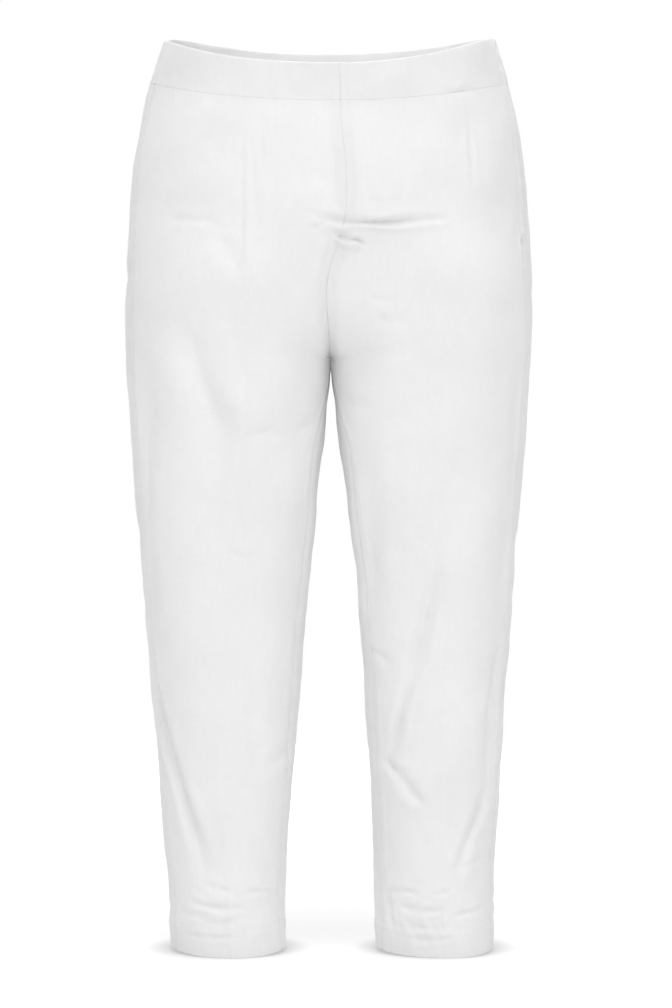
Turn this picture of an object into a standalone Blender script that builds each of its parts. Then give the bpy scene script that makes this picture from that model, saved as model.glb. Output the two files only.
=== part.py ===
"""White cropped, tapered trousers, filled out as if worn, with nobody inside.

Metres, +Z up. The origin is the middle of the waist hollow, the front faces -Y and +X is the wearer's left.
The tables hold millimetres. A distance "out" is measured from the middle plane towards the leg's own side.

The cloth is one smooth surface, cut along its seams. A level section of it runs round each side of the
garment as v: 0 at the centre front seam or a leg's innermost line, 1 at the front crease, 2 at the outermost
line of the side, 3 at the back crease and 4 at the centre back seam or the innermost line again. The body
above the fork and the leg below it are two families of sections, blended through the fork. Each panel is a
loft of rows across it.
"""
import math

import bpy
import numpy as np

MM = 0.001
RIGHT, LEFT = -1, 1  # the wearer's
FRONT, BACK = -1, 1

# Walls and gaps
CLOTH = 1.3  # one layer of the twill
DOUBLED = 2.6  # the waistband, and a hem with its turned-up edge
SEAM_GAP = 0.3
ZIP_GAP = 0.4
ZIP_WALL = 1.0

# Heights
WAIST_SIDE = 20.0  # top edge of the waistband at the outermost line of each side
WAIST_FRONT_DROP = 37.8
WAIST_BACK_RISE = 3.1
WAIST_BACK_ARCH = 6.8  # how far the top edge arches up between the side and the centre back
WAIST_ARCH_SKEW = 0.75
WAIST_CURVE = {RIGHT: 1.8, LEFT: 2.2}  # how late the top edge falls, from the side to the front
BAND_SIDE = 42.0  # depth of the waistband at the sides
BAND_BACK = 40.0
SEAM_FRONT_DROP = 31.0  # fall of the waist seam from the side to the front
SEAM_CURVE = 1.6
CROTCH = -285.0
CROTCH_ROW_SIDE = -315.0  # height at the side seam of the row of cloth that meets the crotch point
CROTCH_ROW_CURVE = 1.5  # how late that row rises, from the crease to the centre
LEVEL_BELOW_WAIST = 0.77  # share of the body's rows over which they turn from the waist's slope to level
HEM = -840.0
HEM_TURN = 25.0
HEM_DIP_FRONT = 4.4
HEM_DIP_BACK = 2.5
HEM_DIP_CURVE = 1.5
HEM_DIP_FROM = 0.75  # share of the leg's length at which the rows begin to dip
ZIP_BOTTOM = -178.0
ZIP_BELOW_EDGE = 3.0

# Where the creases lie round the waist, as angles from the centre seam
FRONT_CREASE_ANGLE = 0.43
BACK_CREASE_ANGLE = 0.6

LEG_SQUARE = {FRONT: 2.35, BACK: 2.15}  # of a leg's section: 2 is an ellipse

# The fork, where the legs' round inner sides cross the middle plane above the crotch
FORK_OPENING = 0.0013  # share of its width by which an inner side passes the plane, for each mm of height
FORK_HEIGHT = 52.0  # height at which it passes the plane by its own width again
FORK_POWER = 1.35
FORK_POINT = 0.75  # how much less square than its section a leg's inner side is at the crotch
FORK_POINT_ENDS = -500.0
BODY_ENDS = -140.0
LEG_BEGINS = -230.0

# The pressed creases, and the heights at which they begin and are full
CREASE_HEIGHT = 2.8
CREASE_WIDTH = 11.0
CREASE_TOP = -60.0
CREASE_FULL = -260.0

# Outermost line of each side: height, out right, out left
SIDES = (
    (25, 156, 157),
    (0, 164.3, 164.2),
    (-20, 170, 170),
    (-50, 177.5, 177.6),
    (-80, 183.3, 182.6),
    (-120, 189.2, 187.7),
    (-160, 192, 191.2),
    (-210, 193.5, 193),
    (-285, 193.4, 190.8),
    (-320, 191.6, 188.2),
    (-380, 187.3, 184.2),
    (-440, 182.8, 180),
    (-500, 177.6, 174.9),
    (-560, 172.2, 169.5),
    (-620, 166.3, 165.4),
    (-680, 161.3, 161.7),
    (-740, 156.5, 158.3),
    (-800, 152.1, 156.2),
    (-840, 150.8, 155.6),
)
# Innermost line of each leg: height, out right, out left
INSEAMS = (
    (-285, -1, 1),
    (-320, 1.3, 4.2),
    (-380, 7.2, 11.2),
    (-440, 13.1, 18.6),
    (-500, 19, 25.5),
    (-560, 24.8, 30.8),
    (-620, 30, 35),
    (-680, 34.8, 38.3),
    (-740, 39.2, 41),
    (-800, 42.1, 43.2),
    (-840, 42.2, 44.1),
)
# Front crease: height, out right, out left
CREASES = (
    (25, 76, 75),
    (-50, 75, 79),
    (-135, 74.5, 87),
    (-225, 75.5, 94),
    (-325, 79.5, 100),
    (-418, 87, 104.7),
    (-500, 95.5, 107.7),
    (-560, 99.5, 108.3),
    (-630, 101.3, 108.3),
    (-700, 99.5, 108.2),
    (-765, 93.5, 108.3),
    (-840, 90.5, 108.5),
)
BACK_CREASES = (
    (25, 86, 86),
    (-135, 92, 93),
    (-325, 96, 98),
    (-560, 99, 100),
    (-840, 97, 99.5),
)
# Body: height, y of the centre front and centre back, squareness of the front and back (2 is an ellipse)
BODY = (
    (25, -98, 99, 2.1, 2.1),
    (0, -102, 103, 2.1, 2.1),
    (-20, -104, 107, 2.1, 2.15),
    (-50, -107, 114, 2.15, 2.2),
    (-80, -110, 121, 2.2, 2.25),
    (-120, -112.5, 128.5, 2.25, 2.35),
    (-160, -112, 132, 2.3, 2.4),
    (-200, -109, 130, 2.3, 2.4),
    (-240, -104, 124, 2.3, 2.4),
)
# Legs: height, y of the front and back creases
LEGS = (
    (-140, -110, 132),
    (-180, -108, 132),
    (-235, -104, 127),
    (-285, -100, 116),
    (-320, -97, 108.5),
    (-380, -92, 98),
    (-440, -87.5, 89.5),
    (-500, -83, 83.5),
    (-560, -79, 79.5),
    (-620, -75, 76.5),
    (-680, -71, 73.5),
    (-740, -67.5, 69.5),
    (-800, -64, 65.5),
    (-840, -62, 63.5),
)
# Height, y of the outermost and of the innermost lines
MIDDLES = (
    (25, 12, -24),
    (-120, 9, -24),
    (-285, 6, -30),
    (-440, 3, -26),
    (-640, 1, -14),
    (-840, 0, -4),
)
# Centre seams: height, x of the centre front seam and of the centre back seam
CENTRES = (
    (25, 9.5, -10),
    (-45, 10, -10),
    (-80, 11.5, -9),
    (-105, 14.5, -8),
    (-135, 16, -7),
    (-160, 14.5, -6),
    (-190, 6, -4),
    (-220, -2, -2),
    (-250, -1.5, 0),
    (-285, 1, 1),
)
# Side seams: height, v right, v left
SIDE_SEAMS = (
    (25, 1.75, 1.76),
    (-60, 1.76, 1.72),
    (-120, 1.76, 1.7),
    (-180, 1.75, 1.69),
    (-240, 1.74, 1.71),
    (-400, 1.72, 1.74),
    (-600, 1.71, 1.72),
    (-840, 1.7, 1.7),
)
INSEAM_FORWARD = 0.3  # how far the inseam lies in front of a leg's innermost line, in v
INSEAM_SETTLES = 0.14  # share of the leg over which it gets there, from the crotch down
FOLD_FADE = 1 / 3  # share of a fold's length, and of a panel's width, over which it fades out
# Largest folds: leg, front or back, x and height of one end, then of the other, half width, depth
FOLDS = (
    (RIGHT, FRONT, -152, -600, -112, -772, 11, -3.0),
    (RIGHT, FRONT, -138, -250, -101, -402, 16, -2.2),
    (LEFT, FRONT, 93, -500, 52, -662, 13, -2.2),
    (LEFT, FRONT, 150, -586, 117, -767, 11, -2.4),
    (LEFT, FRONT, 40, -390, 43, -560, 14, -2.0),
    (LEFT, FRONT, 4, -158, 116, -160, 9, -2.2),
    (RIGHT, BACK, -48, -255, -128, -330, 15, -2.8),
    (RIGHT, BACK, -58, -470, -140, -500, 13, -2.4),
    (RIGHT, BACK, -70, -600, -130, -690, 12, -2.0),
    (LEFT, BACK, 46, -250, 126, -318, 15, -2.8),
    (LEFT, BACK, 56, -488, 142, -462, 13, -2.4),
    (LEFT, BACK, 66, -690, 128, -606, 12, -2.0),
)

# How finely the cloth is lofted
ROWS_BODY = 12
ROWS_LEG = 14
ROWS_BAND = 3
WALL_STEP = 0.01  # rows' distance over which one layer becomes two at the hem, as a share of the leg
PATH_POINTS = 400
# Columns of cloth as shares of the way from the crease to a seam: close at the seams, where walls meet
TO_CENTRE = (0, 0.2, 0.4, 0.6, 0.8, 0.96, 1)
FRONT_TO_SIDE = (0, 0.22, 0.44, 0.65, 0.86, 0.96, 1)
BACK_TO_SIDE = (0, 0.18, 0.36, 0.54, 0.72, 0.88, 0.97, 1)

WHITE_TWILL = (0.82, 0.82, 0.81)
TWILL_ROUGHNESS = 0.85
ZIP_WHITE = (0.78, 0.78, 0.78)
ZIP_ROUGHNESS = 0.6


def smooth(table, column):
    """A function of height through one column of a table: a natural cubic spline."""
    heights = np.array([row[0] for row in reversed(table)], float)
    values = np.array([row[column] for row in reversed(table)], float)
    steps = np.diff(heights)
    slopes = np.diff(values) / steps
    last = len(heights) - 1
    system = np.eye(last + 1)
    wanted = np.zeros(last + 1)
    for i in range(1, last):
        system[i, i - 1 : i + 2] = steps[i - 1], 2 * (steps[i - 1] + steps[i]), steps[i]
        wanted[i] = 6 * (slopes[i] - slopes[i - 1])
    bends = np.linalg.solve(system, wanted)

    def at(z):
        z = np.clip(z, heights[0], heights[-1])
        i = np.clip(np.searchsorted(heights, z) - 1, 0, last - 1)
        low = (heights[i + 1] - z) / steps[i]
        high = 1 - low
        curve = (low**3 - low) * bends[i] + (high**3 - high) * bends[i + 1]
        return low * values[i] + high * values[i + 1] + curve * steps[i] ** 2 / 6

    return at


def by_side(table):
    """A table's two columns as functions of height, looked up by side."""
    return {RIGHT: smooth(table, 1), LEFT: smooth(table, 2)}


side_out = by_side(SIDES)
inseam_out = by_side(INSEAMS)
front_crease = by_side(CREASES)
back_crease = by_side(BACK_CREASES)
side_seam = by_side(SIDE_SEAMS)
body_front, body_back, front_square, back_square = (smooth(BODY, i) for i in (1, 2, 3, 4))
leg_front, leg_back = smooth(LEGS, 1), smooth(LEGS, 2)
side_y, inseam_y = smooth(MIDDLES, 1), smooth(MIDDLES, 2)
centre_front, centre_back = smooth(CENTRES, 1), smooth(CENTRES, 2)


def ease(t):
    """0 to 1 with level ends."""
    t = np.clip(t, 0.0, 1.0)
    return t * t * (3 - 2 * t)


def fork_crossing(z):
    """How far a leg's inner side would pass the middle plane, in its own widths, were the legs not sewn."""
    above = np.maximum(z - CROTCH, 0.0)
    return FORK_OPENING * above + (above / FORK_HEIGHT) ** FORK_POWER


def body_section(side, face, w, z):
    """(out, y) on the body's level section: w is 0 at the centre seam, 1 at the crease and 2 at the side."""
    centre = side * np.where(face < 0, centre_front(z), centre_back(z)) + SEAM_GAP / 2
    crease = np.where(face < 0, front_crease[side](z), back_crease[side](z))
    square = np.where(face < 0, front_square(z), back_square(z))
    middle = side_y(z)
    half_width = side_out[side](z) - centre
    half_depth = np.abs(np.where(face < 0, body_front(z), body_back(z)) - middle)
    crease_angle = np.arcsin(np.clip((crease - centre) / half_width, 0, 1) ** (square / 2))
    beyond = crease_angle + (w - 1) * (math.pi / 2 - crease_angle)
    angle = np.where(w < 1, w * crease_angle, beyond)
    out = centre + half_width * np.abs(np.sin(angle)) ** (2 / square)
    y = middle + face * half_depth * np.abs(np.cos(angle)) ** (2 / square)
    return out, y


def leg_section(side, face, w, z):
    """(out, y) on a leg's level section, cut at the middle plane above the crotch."""
    centre = side * np.where(face < 0, centre_front(z), centre_back(z)) + SEAM_GAP / 2
    crease = np.where(face < 0, front_crease[side](z), back_crease[side](z))
    crease_y = np.where(face < 0, leg_front(z), leg_back(z))
    crossing = 1 + fork_crossing(z)
    square = np.where(face < 0, LEG_SQUARE[FRONT], LEG_SQUARE[BACK])
    cut = np.arcsin((1 / crossing) ** (square / 2))
    inner_edge = np.where(z > CROTCH, centre, inseam_out[side](z) + SEAM_GAP / 2)
    inner_reach = (crease - inner_edge) * crossing
    turn = np.maximum(1 - w, 0) * cut
    inner_out = crease - inner_reach * np.sin(turn) ** (2 / square)
    pointed = square - FORK_POINT * ease((z - FORK_POINT_ENDS) / (CROTCH - FORK_POINT_ENDS))
    inner_y = inseam_y(z) + (crease_y - inseam_y(z)) * np.abs(np.cos(turn)) ** (2 / pointed)
    swing = np.maximum(w - 1, 0) * math.pi / 2
    outer_out = crease + (side_out[side](z) - crease) * np.sin(swing) ** (2 / square)
    outer_y = side_y(z) + (crease_y - side_y(z)) * np.abs(np.cos(swing)) ** (2 / square)
    return np.where(w < 1, inner_out, outer_out), np.where(w < 1, inner_y, outer_y)


def pressed_crease(side, face, out, z):
    """How far the pressed crease stands out of the round of the leg."""
    crease = np.where(face < 0, front_crease[side](z), back_crease[side](z))
    strength = ease((CREASE_TOP - z) / (CREASE_TOP - CREASE_FULL))
    return CREASE_HEIGHT * strength * np.exp(-np.abs(out - crease) / CREASE_WIDTH)


def folds(side, face, w, x, z):
    """How far the largest folds move the cloth out. They fade before the seams, at w = 0 and 2."""
    total = np.zeros_like(x)
    for leg, on_face, x0, z0, x1, z1, half_width, depth in FOLDS:
        run = np.array([x1 - x0, z1 - z0])
        length = np.hypot(*run)
        part_way = ((x - x0) * run[0] + (z - z0) * run[1]) / length**2
        off = ((x - x0) * run[1] - (z - z0) * run[0]) / length
        window = ease(part_way / FOLD_FADE) * ease((1 - part_way) / FOLD_FADE)
        here = (face == on_face) & (side == leg)
        total += np.where(here, depth * window * np.exp(-((off / half_width) ** 2)), 0.0)
    return total * ease(w / FOLD_FADE) * ease((2 - w) / FOLD_FADE)


def face_and_width(v):
    """Which face v is on and how far across it: 0 at the centre or innermost line, 2 at the outermost.

    Past 4, v goes on round the leg from 0, because a back panel reaches a little onto the leg's front.
    """
    v = np.where(v > 4, v - 4, v)
    return np.where(v < 2, FRONT, BACK), np.where(v < 2, v, 4 - v)


def inseam_place(row):
    """v of a leg's inseam, which leaves the innermost line at the crotch and runs down in front of it."""
    return INSEAM_FORWARD * ease((row - 1) / INSEAM_SETTLES)


def surface(side, v, z):
    """Points of the outer face of the cloth, in millimetres, for arrays of v and height."""
    face, w = face_and_width(v)
    body = np.array(body_section(side, face, w, z))
    leg = np.array(leg_section(side, face, w, z))
    out, y = body + (leg - body) * ease((BODY_ENDS - z) / (BODY_ENDS - LEG_BEGINS))
    lift = pressed_crease(side, face, out, z) + folds(side, face, w, side * out, z)
    return np.stack([side * out, y + face * lift, z], axis=-1)


def waist_turn(v):
    """How far round the waist v is, as a share of its depth: 0 at the outermost line, 1 at a centre seam."""
    w = np.where(v < 2, v, 4 - v)
    crease_angle = np.where(v < 2, FRONT_CREASE_ANGLE, BACK_CREASE_ANGLE)
    beyond = crease_angle + (w - 1) * (math.pi / 2 - crease_angle)
    angle = np.where(w < 1, w * crease_angle, beyond)
    return np.clip(np.cos(angle), 0, 1)


def waist_edge(side, v):
    """Height of the top edge of the waistband."""
    turn = waist_turn(v)
    front = -WAIST_FRONT_DROP * turn ** WAIST_CURVE[side]
    back = WAIST_BACK_RISE * turn + WAIST_BACK_ARCH * np.sin(math.pi * turn**WAIST_ARCH_SKEW)
    return WAIST_SIDE + np.where(v < 2, front, back)


def waist_seam(side, v):
    """Height of the seam between the waistband and the panels."""
    turn = waist_turn(v)
    front = WAIST_SIDE - BAND_SIDE - SEAM_FRONT_DROP * turn**SEAM_CURVE
    back = waist_edge(side, v) - BAND_SIDE + (BAND_SIDE - BAND_BACK) * turn
    return np.where(v < 2, front, back)


def crotch_seam_height(side, v_centre, share):
    """Height of the centre seam at a share of its length, from the waist seam to the crotch point."""
    z = np.linspace(waist_seam(side, np.array(v_centre)), CROTCH, PATH_POINTS)
    y = surface(side, np.full_like(z, v_centre), z)[:, 1]
    run = np.concatenate([[0], np.cumsum(np.hypot(np.diff(y), np.diff(z)))])
    return np.interp(share * run[-1], run, z)


def row_heights(side, v, row):
    """Height of a row of cloth at v: row is 0 at the waist seam, 1 through the crotch and 2 at the hem."""
    upper = np.minimum(row, 1.0)
    lower = np.maximum(row - 1.0, 0.0)
    seam_side = WAIST_SIDE - BAND_SIDE
    at_side = seam_side + (CROTCH_ROW_SIDE - seam_side) * upper + (HEM - CROTCH_ROW_SIDE) * lower
    seam_front = crotch_seam_height(side, 0.0, upper)
    seam_back = crotch_seam_height(side, 4.0, upper)
    face, w = face_and_width(v)
    at_centre = np.where(face < 0, seam_front, seam_back) + (HEM - CROTCH) * lower
    level = at_side + (at_centre - at_side) * np.maximum(1 - w, 0) ** CROTCH_ROW_CURVE
    along_waist = at_side + waist_seam(side, v) - seam_side
    dip = np.where(face < 0, HEM_DIP_FRONT, HEM_DIP_BACK) * np.sin(math.pi * w / 2) ** HEM_DIP_CURVE
    z = along_waist + (level - along_waist) * ease(upper / LEVEL_BELOW_WAIST)
    return z - dip * (np.maximum(lower - HEM_DIP_FROM, 0) / (1 - HEM_DIP_FROM)) ** 2


def hem_rows():
    """Row numbers from the crotch to the hem, with two close rows where the turned-up edge begins."""
    leg_length = CROTCH_ROW_SIDE - HEM
    turn = 2 - HEM_TURN / leg_length
    return np.concatenate([np.linspace(1, turn - WALL_STEP, ROWS_LEG)[1:], [turn, 2.0]])


def panel_rows():
    return np.concatenate([np.linspace(0, 1, ROWS_BODY + 1), hem_rows()])


def panel_columns(side, face, z, inseam):
    """v across a panel, from its centre seam or inseam to its side seam, for rows at the given heights."""
    seam = side_seam[side](z)[:, None]
    crease, centre, to_side = (1, 0, FRONT_TO_SIDE) if face == FRONT else (3, 4, BACK_TO_SIDE)
    inner = crease + (centre + inseam[:, None] - crease) * np.array(TO_CENTRE[:0:-1])
    outer = crease + (seam - crease) * np.array(to_side)
    return np.concatenate([inner, outer], axis=1)


def drawn_in(points, edge, amount):
    """A copy of a net with one edge drawn in along the net's lines: edge is top, bottom, first or last."""
    net = points.copy()
    outer, inner = {"top": (0, 1), "bottom": (-1, -2), "first": (0, 1), "last": (-1, -2)}[edge]
    turned = net if edge in ("top", "bottom") else net.swapaxes(0, 1)
    way = turned[inner] - turned[outer]
    length = np.linalg.norm(way, axis=-1, keepdims=True)
    turned[outer] += way / length * (np.zeros(len(way)) + amount)[:, None]
    return net


def panel_net(side, face):
    """Net of points of one leg panel: rows from the waist seam to the hem, columns from centre to side."""
    rows = panel_rows()
    seam_side = WAIST_SIDE - BAND_SIDE
    heights = np.interp(rows, [0, 1, 2], [seam_side, CROTCH_ROW_SIDE, HEM])
    v = panel_columns(side, face, heights, inseam_place(rows))
    z = np.array([row_heights(side, v[i], np.full(v.shape[1], rows[i])) for i in range(len(rows))])
    net = surface(side, v, z)
    net = drawn_in(net, "top", SEAM_GAP / 2)
    net = drawn_in(net, "last", SEAM_GAP / 2)
    below_crotch = np.where(rows >= 1, SEAM_GAP / 2, 0.0)
    return drawn_in(net, "first", below_crotch)


def band_net(side, face):
    """Net of half a waistband: rows from its seam to its top edge, columns from centre to side."""
    level = np.linspace(0, 1, ROWS_BAND + 1)
    v = panel_columns(side, face, WAIST_SIDE - BAND_SIDE * (1 - level), inseam_place(level))
    z = waist_seam(side, v) + (waist_edge(side, v) - waist_seam(side, v)) * level[:, None]
    net = surface(side, v, z)
    net = drawn_in(net, "top", SEAM_GAP / 2)
    return drawn_in(net, "last", SEAM_GAP / 2)


def back_band_net():
    """Net of the back waistband, from the right side seam round to the left."""
    right = band_net(RIGHT, BACK)[:, ::-1]
    left = band_net(LEFT, BACK)
    middle = (right[:, -1:] + left[:, :1]) / 2
    return np.concatenate([right[:, :-1], middle, left[:, 1:]], axis=1)


def make_material(name, colour, roughness):
    material = bpy.data.materials.new(name)
    material.use_nodes = True
    shader = material.node_tree.nodes["Principled BSDF"]
    shader.inputs["Base Color"].default_value = (*colour, 1.0)
    shader.inputs["Roughness"].default_value = roughness
    shader.inputs["Metallic"].default_value = 0.0
    return material


def make_cloth(name, net, wall, material, collection, thin_rows=()):
    """A sheet through a net, with its wall on the inner side. Thin rows have half the wall."""
    rows, columns, _ = net.shape
    quads = [
        (r * columns + c, r * columns + c + 1, (r + 1) * columns + c + 1, (r + 1) * columns + c)
        for r in range(rows - 1)
        for c in range(columns - 1)
    ]
    mesh = bpy.data.meshes.new(name)
    mesh.from_pydata((net.reshape(-1, 3) * MM).tolist(), [], quads)
    if not faces_out(net):
        mesh.flip_normals()
    mesh.shade_smooth()
    mesh.materials.append(material)
    sheet = bpy.data.objects.new(name, mesh)
    collection.objects.link(sheet)
    thickness = sheet.modifiers.new("wall", "SOLIDIFY")
    thickness.thickness = wall * MM
    thickness.offset = -1.0
    thickness.use_even_offset = True
    if len(thin_rows):
        doubled = sheet.vertex_groups.new(name="doubled")
        thick = [r * columns + c for r in range(rows) if r not in thin_rows for c in range(columns)]
        doubled.add(thick, 1.0, "REPLACE")
        thickness.vertex_group = "doubled"
        thickness.thickness_vertex_group = CLOTH / wall
    return sheet


def faces_out(net):
    """Whether a net's quads, taken in their own order, face away from the middle of the wearer's leg."""
    r, c = net.shape[0] // 2, net.shape[1] // 2
    across = net[r, c + 1] - net[r, c]
    down = net[r + 1, c] - net[r, c]
    inside = np.array([net[r, :, 0].mean(), 0.0, net[r, c, 2]])
    return np.dot(np.cross(across, down), net[r, c] - inside) > 0


def make_panels(collection):
    thin = range(len(panel_rows()) - 2)
    for side, side_name in ((RIGHT, "right"), (LEFT, "left")):
        for face, face_name in ((FRONT, "front"), (BACK, "back")):
            name = f"{face_name}_{side_name}"
            material = make_material(f"{name}_twill", WHITE_TWILL, TWILL_ROUGHNESS)
            make_cloth(name, panel_net(side, face), DOUBLED, material, collection, thin)


def make_waistband(collection):
    for side, side_name in ((RIGHT, "right"), (LEFT, "left")):
        name = f"waistband_front_{side_name}"
        material = make_material(f"{name}_twill", WHITE_TWILL, TWILL_ROUGHNESS)
        make_cloth(name, band_net(side, FRONT), DOUBLED, material, collection)
    material = make_material("waistband_back_twill", WHITE_TWILL, TWILL_ROUGHNESS)
    make_cloth("waistband_back", back_band_net(), DOUBLED, material, collection)


def beside_seam(front, back):
    """The five columns of points nearest a side seam: two of the front, the seam and two of the back."""
    seam = (front[:, -1:] + back[:, -1:]) / 2
    return np.concatenate([front[:, -3:-1], seam, back[:, -2:-4:-1]], axis=1)


def make_zip(collection):
    """The tape of the concealed zip: a strip behind the left side seam, made from the panels' own points."""
    front, back = panel_net(LEFT, FRONT), panel_net(LEFT, BACK)
    band_front, band_back = band_net(LEFT, FRONT), band_net(LEFT, BACK)
    strip = beside_seam(front, back)
    band_strip = beside_seam(band_front, band_back)
    rows = strip[:, 2, 2] > ZIP_BOTTOM
    net = np.concatenate([band_strip[::-1], strip[rows][1:]])
    across = np.gradient(net, axis=1)
    down = np.gradient(net, axis=0)
    normal = np.cross(across, down)
    normal /= np.linalg.norm(normal, axis=-1, keepdims=True)
    inward = -normal * np.sign((normal[..., :1] * net[..., :1]).mean())
    depth = np.full(net.shape[0], CLOTH + ZIP_GAP)
    depth[: len(band_strip) + 1] = DOUBLED + ZIP_GAP
    net = net + inward * depth[:, None, None]
    net = drawn_in(net, "top", ZIP_BELOW_EDGE)
    material = make_material("zip_tape", ZIP_WHITE, ZIP_ROUGHNESS)
    make_cloth("side_zip", net, ZIP_WALL, material, collection)


def main():
    for obj in list(bpy.data.objects):
        bpy.data.objects.remove(obj, do_unlink=True)
    collection = bpy.data.collections.new("cropped_trousers")
    bpy.context.scene.collection.children.link(collection)
    make_panels(collection)
    make_waistband(collection)
    make_zip(collection)


main()
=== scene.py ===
"""Looks of white cropped, tapered trousers in cotton twill, filled out as if worn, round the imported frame.

Metres, +Z up, the front faces -Y and +X is the wearer's left. Tables and shapes are in millimetres until a
mesh is made. A distance "out" is measured from the middle plane towards the leg's own side.

The cloth is one surface, cut along its seams. v runs round each side: 0 at the centre front seam or a leg's
innermost line, 1 at the front crease, 2 at the outermost line, 3 at the back crease and 4 at the centre back
seam or the innermost line again.
Each piece is a net of points on that surface. Its edges turn in and under, as a sewn piece's do.
"""

import math

import bpy
import numpy as np
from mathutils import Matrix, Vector


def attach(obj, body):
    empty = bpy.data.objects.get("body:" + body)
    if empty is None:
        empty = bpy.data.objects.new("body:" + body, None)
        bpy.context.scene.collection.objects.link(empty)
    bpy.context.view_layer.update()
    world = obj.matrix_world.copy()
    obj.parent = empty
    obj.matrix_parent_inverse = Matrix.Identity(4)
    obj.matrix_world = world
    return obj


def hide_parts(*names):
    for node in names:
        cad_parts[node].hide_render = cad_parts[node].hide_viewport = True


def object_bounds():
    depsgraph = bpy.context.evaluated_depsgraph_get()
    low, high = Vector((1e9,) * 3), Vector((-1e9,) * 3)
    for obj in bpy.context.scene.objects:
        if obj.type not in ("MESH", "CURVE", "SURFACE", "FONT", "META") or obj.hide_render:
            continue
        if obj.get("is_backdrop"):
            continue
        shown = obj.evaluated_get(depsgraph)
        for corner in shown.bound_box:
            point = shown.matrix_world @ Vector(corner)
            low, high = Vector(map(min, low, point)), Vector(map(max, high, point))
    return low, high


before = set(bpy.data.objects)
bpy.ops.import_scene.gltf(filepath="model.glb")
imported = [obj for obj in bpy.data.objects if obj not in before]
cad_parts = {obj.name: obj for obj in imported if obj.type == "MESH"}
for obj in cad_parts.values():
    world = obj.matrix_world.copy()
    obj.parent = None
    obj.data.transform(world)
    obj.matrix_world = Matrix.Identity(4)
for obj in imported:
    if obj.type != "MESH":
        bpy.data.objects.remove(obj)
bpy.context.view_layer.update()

MM = 0.001
RIGHT, LEFT = -1, 1  # the wearer's
FRONT, BACK, ROUND = -1, 1, 0

# Heights of the waist, crotch and hems
WAIST_SIDE = 20.0
WAIST_FRONT_DROP = 37.8
WAIST_BACK_RISE = 3.1
WAIST_BACK_ARCH = 6.8
WAIST_ARCH_SKEW = 0.75
WAIST_CURVE = {RIGHT: 1.8, LEFT: 2.2}
BAND_SIDE = 42.0
BAND_BACK = 40.0
SEAM_SIDE = WAIST_SIDE - BAND_SIDE
SEAM_FRONT_DROP = 31.0
SEAM_CURVE = 1.6
CROTCH = -285.0
CROTCH_ROW_SIDE = -315.0
CROTCH_ROW_CURVE = 1.5
LEVEL_BELOW_WAIST = 0.77
HEM = -840.0
HEM_TURN = 25.0
HEM_DIP_FRONT = 4.4
HEM_DIP_BACK = 2.5
HEM_DIP_CURVE = 1.5
HEM_DIP_FROM = 0.75
ZIP_BOTTOM = -178.0
ZIP_ENDS_OVER = 12.0
FRONT_CREASE_ANGLE = 0.43
BACK_CREASE_ANGLE = 0.6
LEG_SQUARE = {FRONT: 2.35, BACK: 2.15}  # 2 is an ellipse
FORK_OPENING = 0.0013
FORK_HEIGHT = 52.0
FORK_POWER = 1.35
FORK_POINT = 0.75  # how much less square than its section a leg's inner side is at the crotch
FORK_POINT_ENDS = -500.0
BODY_ENDS = -140.0
LEG_BEGINS = -230.0
INSEAM_FORWARD = 0.3  # how far the inseam lies in front of a leg's innermost line, in v
INSEAM_SETTLES = 0.14  # share of the leg over which it gets there, from the crotch down
PATH_POINTS = 400
BODY_LENGTH = 278.0  # of a panel from the waist seam to the crotch, and from there to the hem
LEG_LENGTH = 540.0

# The cloth and how its edges are turned
TWILL = 0.4  # thickness
EDGE_RADIUS = 0.42  # of an edge turned under at a seam or hem
LEG_SEAM_RADIUS = 0.85  # of the edges along the side seams and inseams
ALLOWANCE = 10.0  # width of the seam allowance, pressed open inside
ALLOWANCE_LEAST = 0.15  # where an edge only turns under
BARELY_TURNED = 0.1  # the greatest turn of a row that still has an allowance
ALLOWANCE_ENDS = (2.0, 12.0)  # how far above the turned-up hem it ends, and over what length
CROTCH_NARROWS = (0.6, 0.12)  # how much narrower it is at the crotch, and over what share of a panel
BAND_RADIUS = 1.35  # of the fold along the top of the waistband
FACING_BELOW = 3.0  # how far the waistband's inner side reaches below the waist seam
ZIP_RADIUS = 1.5
ZIP_LIP = 2.1  # how far the cloth beside the closed zip stands up
ZIP_LIP_WIDTH = 3.0
ZIP_LIP_UNEVEN = 0.35
ZIP_LIP_STRETCH = 1.4  # how much closer its unevenness is than a seam's
ZIP_DIMPLE = (1.9, 4.0)  # depth and radius of the dimple at the zip's end
ZIP_DIMPLE_RIM = (0.7, 8.0)  # height and radius of the rim round it

# Pressed creases
CREASE_HEIGHT = 2.8
CREASE_WIDTH = 11.0
CREASE_TOP = -60.0
CREASE_FULL = -260.0

# The zip and the stitches, and the flat sizes in metres that the pieces are cut to
TAPE = 0.7
TAPE_WIDTH = 24.0
TAPE_DEPTH = 3.4
TAPE_BOW = 0.5
TAPE_ENDS = (5.0, 10.0)  # below the waistband's edge, and below the zip's end
TAPE_ROWS, TAPE_COLUMNS = 120, 15
TAPE_NEAR = 0.05  # in v, to find how wide the cloth is beside the seam
COIL_SIZE = (0.9, 4.2, 1.3)
COIL_PITCH = 1.3
COIL_ENDS = (8.0, 2.0)
COIL_POINTS = 160
STITCH_SIZE = (2.6, 0.5, 0.4)
STITCH_PITCH = 3.3
BODY_SIZES = (0.9, 1.08)  # of its own size, for each stitch and each turn of the coil
STITCH_LINE = 0.5  # above the edge of the turned-up hem
STITCH_OUT = 0.08  # how far a stitch's middle is out of the cloth
HEM_STITCH_SEED, COIL_SEED = 7, 3
FRONT_CUT = (0.26, 0.89, 0.166)
BACK_CUT = (0.42, 0.98, 0.294)
BAND_CUT_FRONT = {RIGHT: (0.21, 0.091, 0.0166), LEFT: (0.19, 0.097, 0.0158)}
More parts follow.
